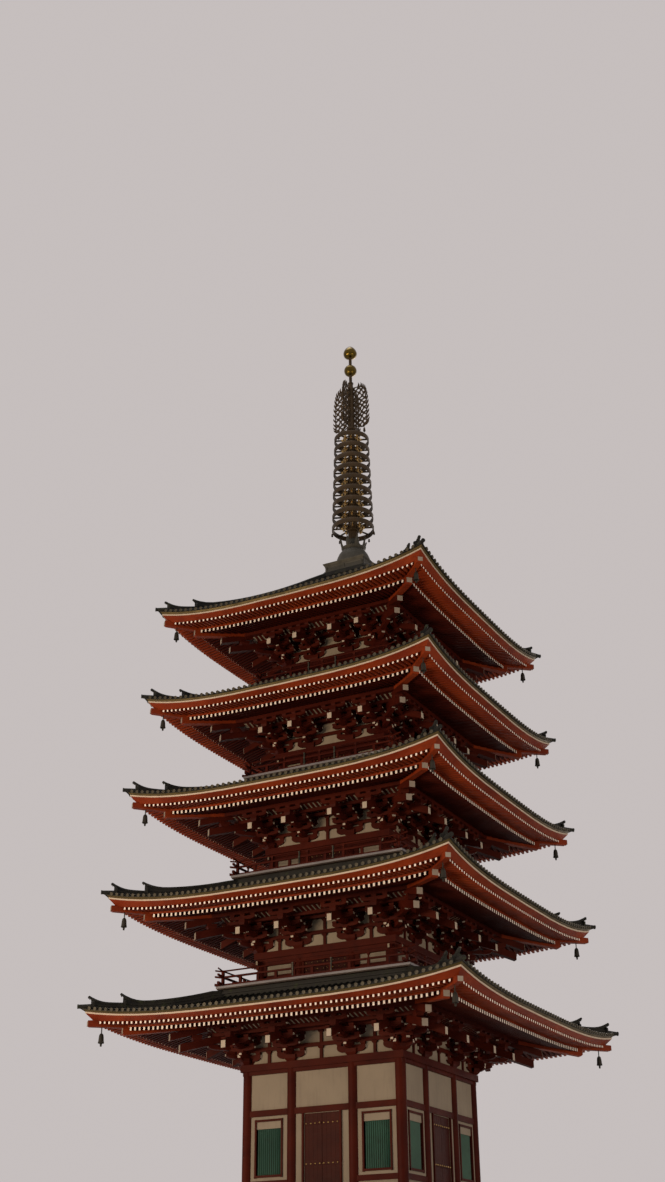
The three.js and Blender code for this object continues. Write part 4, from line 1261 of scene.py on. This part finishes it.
def podiumPieces():
    half, top, outer, wide = podium["half"], podium["height"], podium["copingHalf"], podium["copingWidth"]
    under = top - podium["coping"]
    joint, fine = podium["joint"], podium["fineJoint"]
    blocks, edge, paving = bmesh.new(), bmesh.new(), bmesh.new()
    count = round(2 * half / podium["blockLength"])
    for course, (low, high) in enumerate(pairs(marks(0, under, podium["courses"]))):
        first = 0.5 if course % 2 else 1  # each course's joints stand between those of the next
        joints = [-half + 2 * half * (first + number) / count for number in range(math.ceil(count - first))]
        for x0, x1 in pairs([-half - podium["proud"], *joints, half - 0.1]):
            deep = podium["proud"] + random.uniform(-0.012, 0.006)
            addBox(blocks, (x0 + joint, x1 - joint), (-half - deep, -half + 0.1), (low + joint, high - joint))
    bevelAll(blocks, 0.018)
    for x0, x1 in pairs(marks(-outer, outer - wide, round(2 * outer / podium["copingLength"]))):
        addBox(edge, (x0 + fine, x1 - fine), (-outer, -outer + wide - fine), (under, top))
    bevelAll(edge, 0.03)
    toFourSides(blocks, edge)
    inner = outer - wide
    slabs = pairs(marks(-inner, inner, round(2 * inner / podium["slab"])))
    for y0, y1 in slabs:
        for x0, x1 in slabs:
            drop = random.uniform(0, 0.012)
            addBox(paving, (x0 + fine, x1 - fine), (y0 + fine, y1 - fine), (under + 0.002, top - drop))
    finishPiece(blocks, "podium_blocks", "cutGranite")
    finishPiece(edge, "podium_edgeStones", "cutGranite", ["podium_coping"])
    finishPiece(paving, "podium_paving", "cutGranite")


def stepPieces():
    for name, flight in flights.items():
        bm = bmesh.new()
        levels = marks(flight["foot"], flight["top"], flight["risers"])[1:-1]
        for number, z in enumerate(reversed(levels)):
            back = -flight["front"] - flight["clear"] - number * flight["tread"]
            y = (back - flight["tread"] - flight["nosing"], back)
            for x0, x1 in pairs(marks(-flight["half"], flight["half"], flight["stones"])):
                addBox(bm, (x0 + flight["gap"], x1 - flight["gap"]), y, (z - flight["thick"], z + 0.012))
        bevelAll(bm, flight["bevel"])
        finishPiece(bm, name, flight["paint"])


podiumPieces()
stepPieces()

nodePaints = {
    "stone_podium": "podiumJoints",
    "front_steps": "cutGranite",
    "veranda_steps": "shadedVermilion",
    "tower_plinth": "shadedPlaster",
    "storey1_walls": "shadedPlaster",
    # the floor slabs take the dark brown of painted shade
    **{f"storey{storey.number}_floor": "shadowWood" for storey in storeys},
    **{f"{side}_door": "doorRed" for side in ("front", "right", "back", "left")},
}
for name, paint in nodePaints.items():
    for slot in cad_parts[name].material_slots:
        slot.material = paints[paint]
print("podium made")


# Floor, sky, lamps and camera

stage = {
    "floorHalf": 400,
    "floor": ((0.62, 0.61, 0.59), (0.57, 0.56, 0.54)),
    "sky": (0.88, 0.81, 0.8),
    "skyStrength": 0.64,
    "lampAim": (0, 0, 13),
    "lampSpread": 90,
    "lamps": {  # place, width, height, power, colour
        "keyLight": ((-15, -28.5, 5), 20, 5, 1800, (1.0, 0.78, 0.56)),
        "sideLight": ((29, -8.7, 5), 20, 5, 640, (1.0, 0.82, 0.64)),
        "topLight": ((-6, -8, 80), 40, 40, 4000, (0.95, 0.95, 1.0)),
        "backLight": ((-8, 46, 26), 46, 30, 3200, (1.0, 0.9, 0.8)),
    },
}


def makeStage():
    bm = bmesh.new()
    bmesh.ops.create_grid(bm, x_segments=1, y_segments=1, size=stage["floorHalf"])
    mesh = bpy.data.meshes.new("floor")
    bm.to_mesh(mesh)
    bm.free()
    paint = Paint("paleFloor")
    mesh.materials.append(paint.finish(paint.mix(paint.noise(0.3, 3.0) * 0.2, *stage["floor"]), 0.85))
    addObject("floor", mesh)
    world = bpy.data.worlds.new("studio")
    world.use_nodes = True
    sky = world.node_tree.nodes["Background"].inputs
    sky[0].default_value = (*stage["sky"], 1)
    sky[1].default_value = stage["skyStrength"]
    bpy.context.scene.world = world
    bpy.context.scene.view_settings.view_transform = "Standard"


def makeLights():
    for name, (place, width, height, power, colour) in stage["lamps"].items():
        light = bpy.data.lights.new(name, "AREA")
        light.shape = "RECTANGLE"
        light.size = width
        light.size_y = height
        light.spread = math.radians(stage["lampSpread"])
        light.energy = power
        light.color = colour
        lamp = addObject(name, light)
        lamp.location = place
        lamp.rotation_mode = "QUATERNION"
        lamp.rotation_quaternion = (Vector(stage["lampAim"]) - Vector(place)).to_track_quat("-Z", "Y")


cameraView = {
    "distance": 35.16,
    "height": 0.8,
    "lens": 45.09,
    "angles": {"azimuth": 27.085, "heading": 28.02, "pitch": 26.97, "roll": -0.524},
}


def makeCamera():
    azimuth, heading, pitch, roll = (math.radians(angle) for angle in cameraView["angles"].values())
    data = bpy.data.cameras.new("camera")
    data.lens = cameraView["lens"]
    data.sensor_width = 36
    data.clip_end = 2000
    camera = addObject("camera", data)
    ahead = Vector((-math.sin(heading), math.cos(heading), 0)) * math.cos(pitch)
    ahead.z = math.sin(pitch)
    right = ahead.cross(Vector((0, 0, 1))).normalized()
    up = right.cross(ahead)
    across = math.cos(roll) * right + math.sin(roll) * up
    upright = math.cos(roll) * up - math.sin(roll) * right
    axes = Matrix((across, upright, -ahead)).transposed().to_4x4()
    distance = cameraView["distance"]
    place = shiftBy(math.sin(azimuth) * distance, -math.cos(azimuth) * distance, cameraView["height"])
    camera.matrix_world = place @ axes
    bpy.context.scene.camera = camera


makeStage()
makeLights()
makeCamera()
print("stage made")
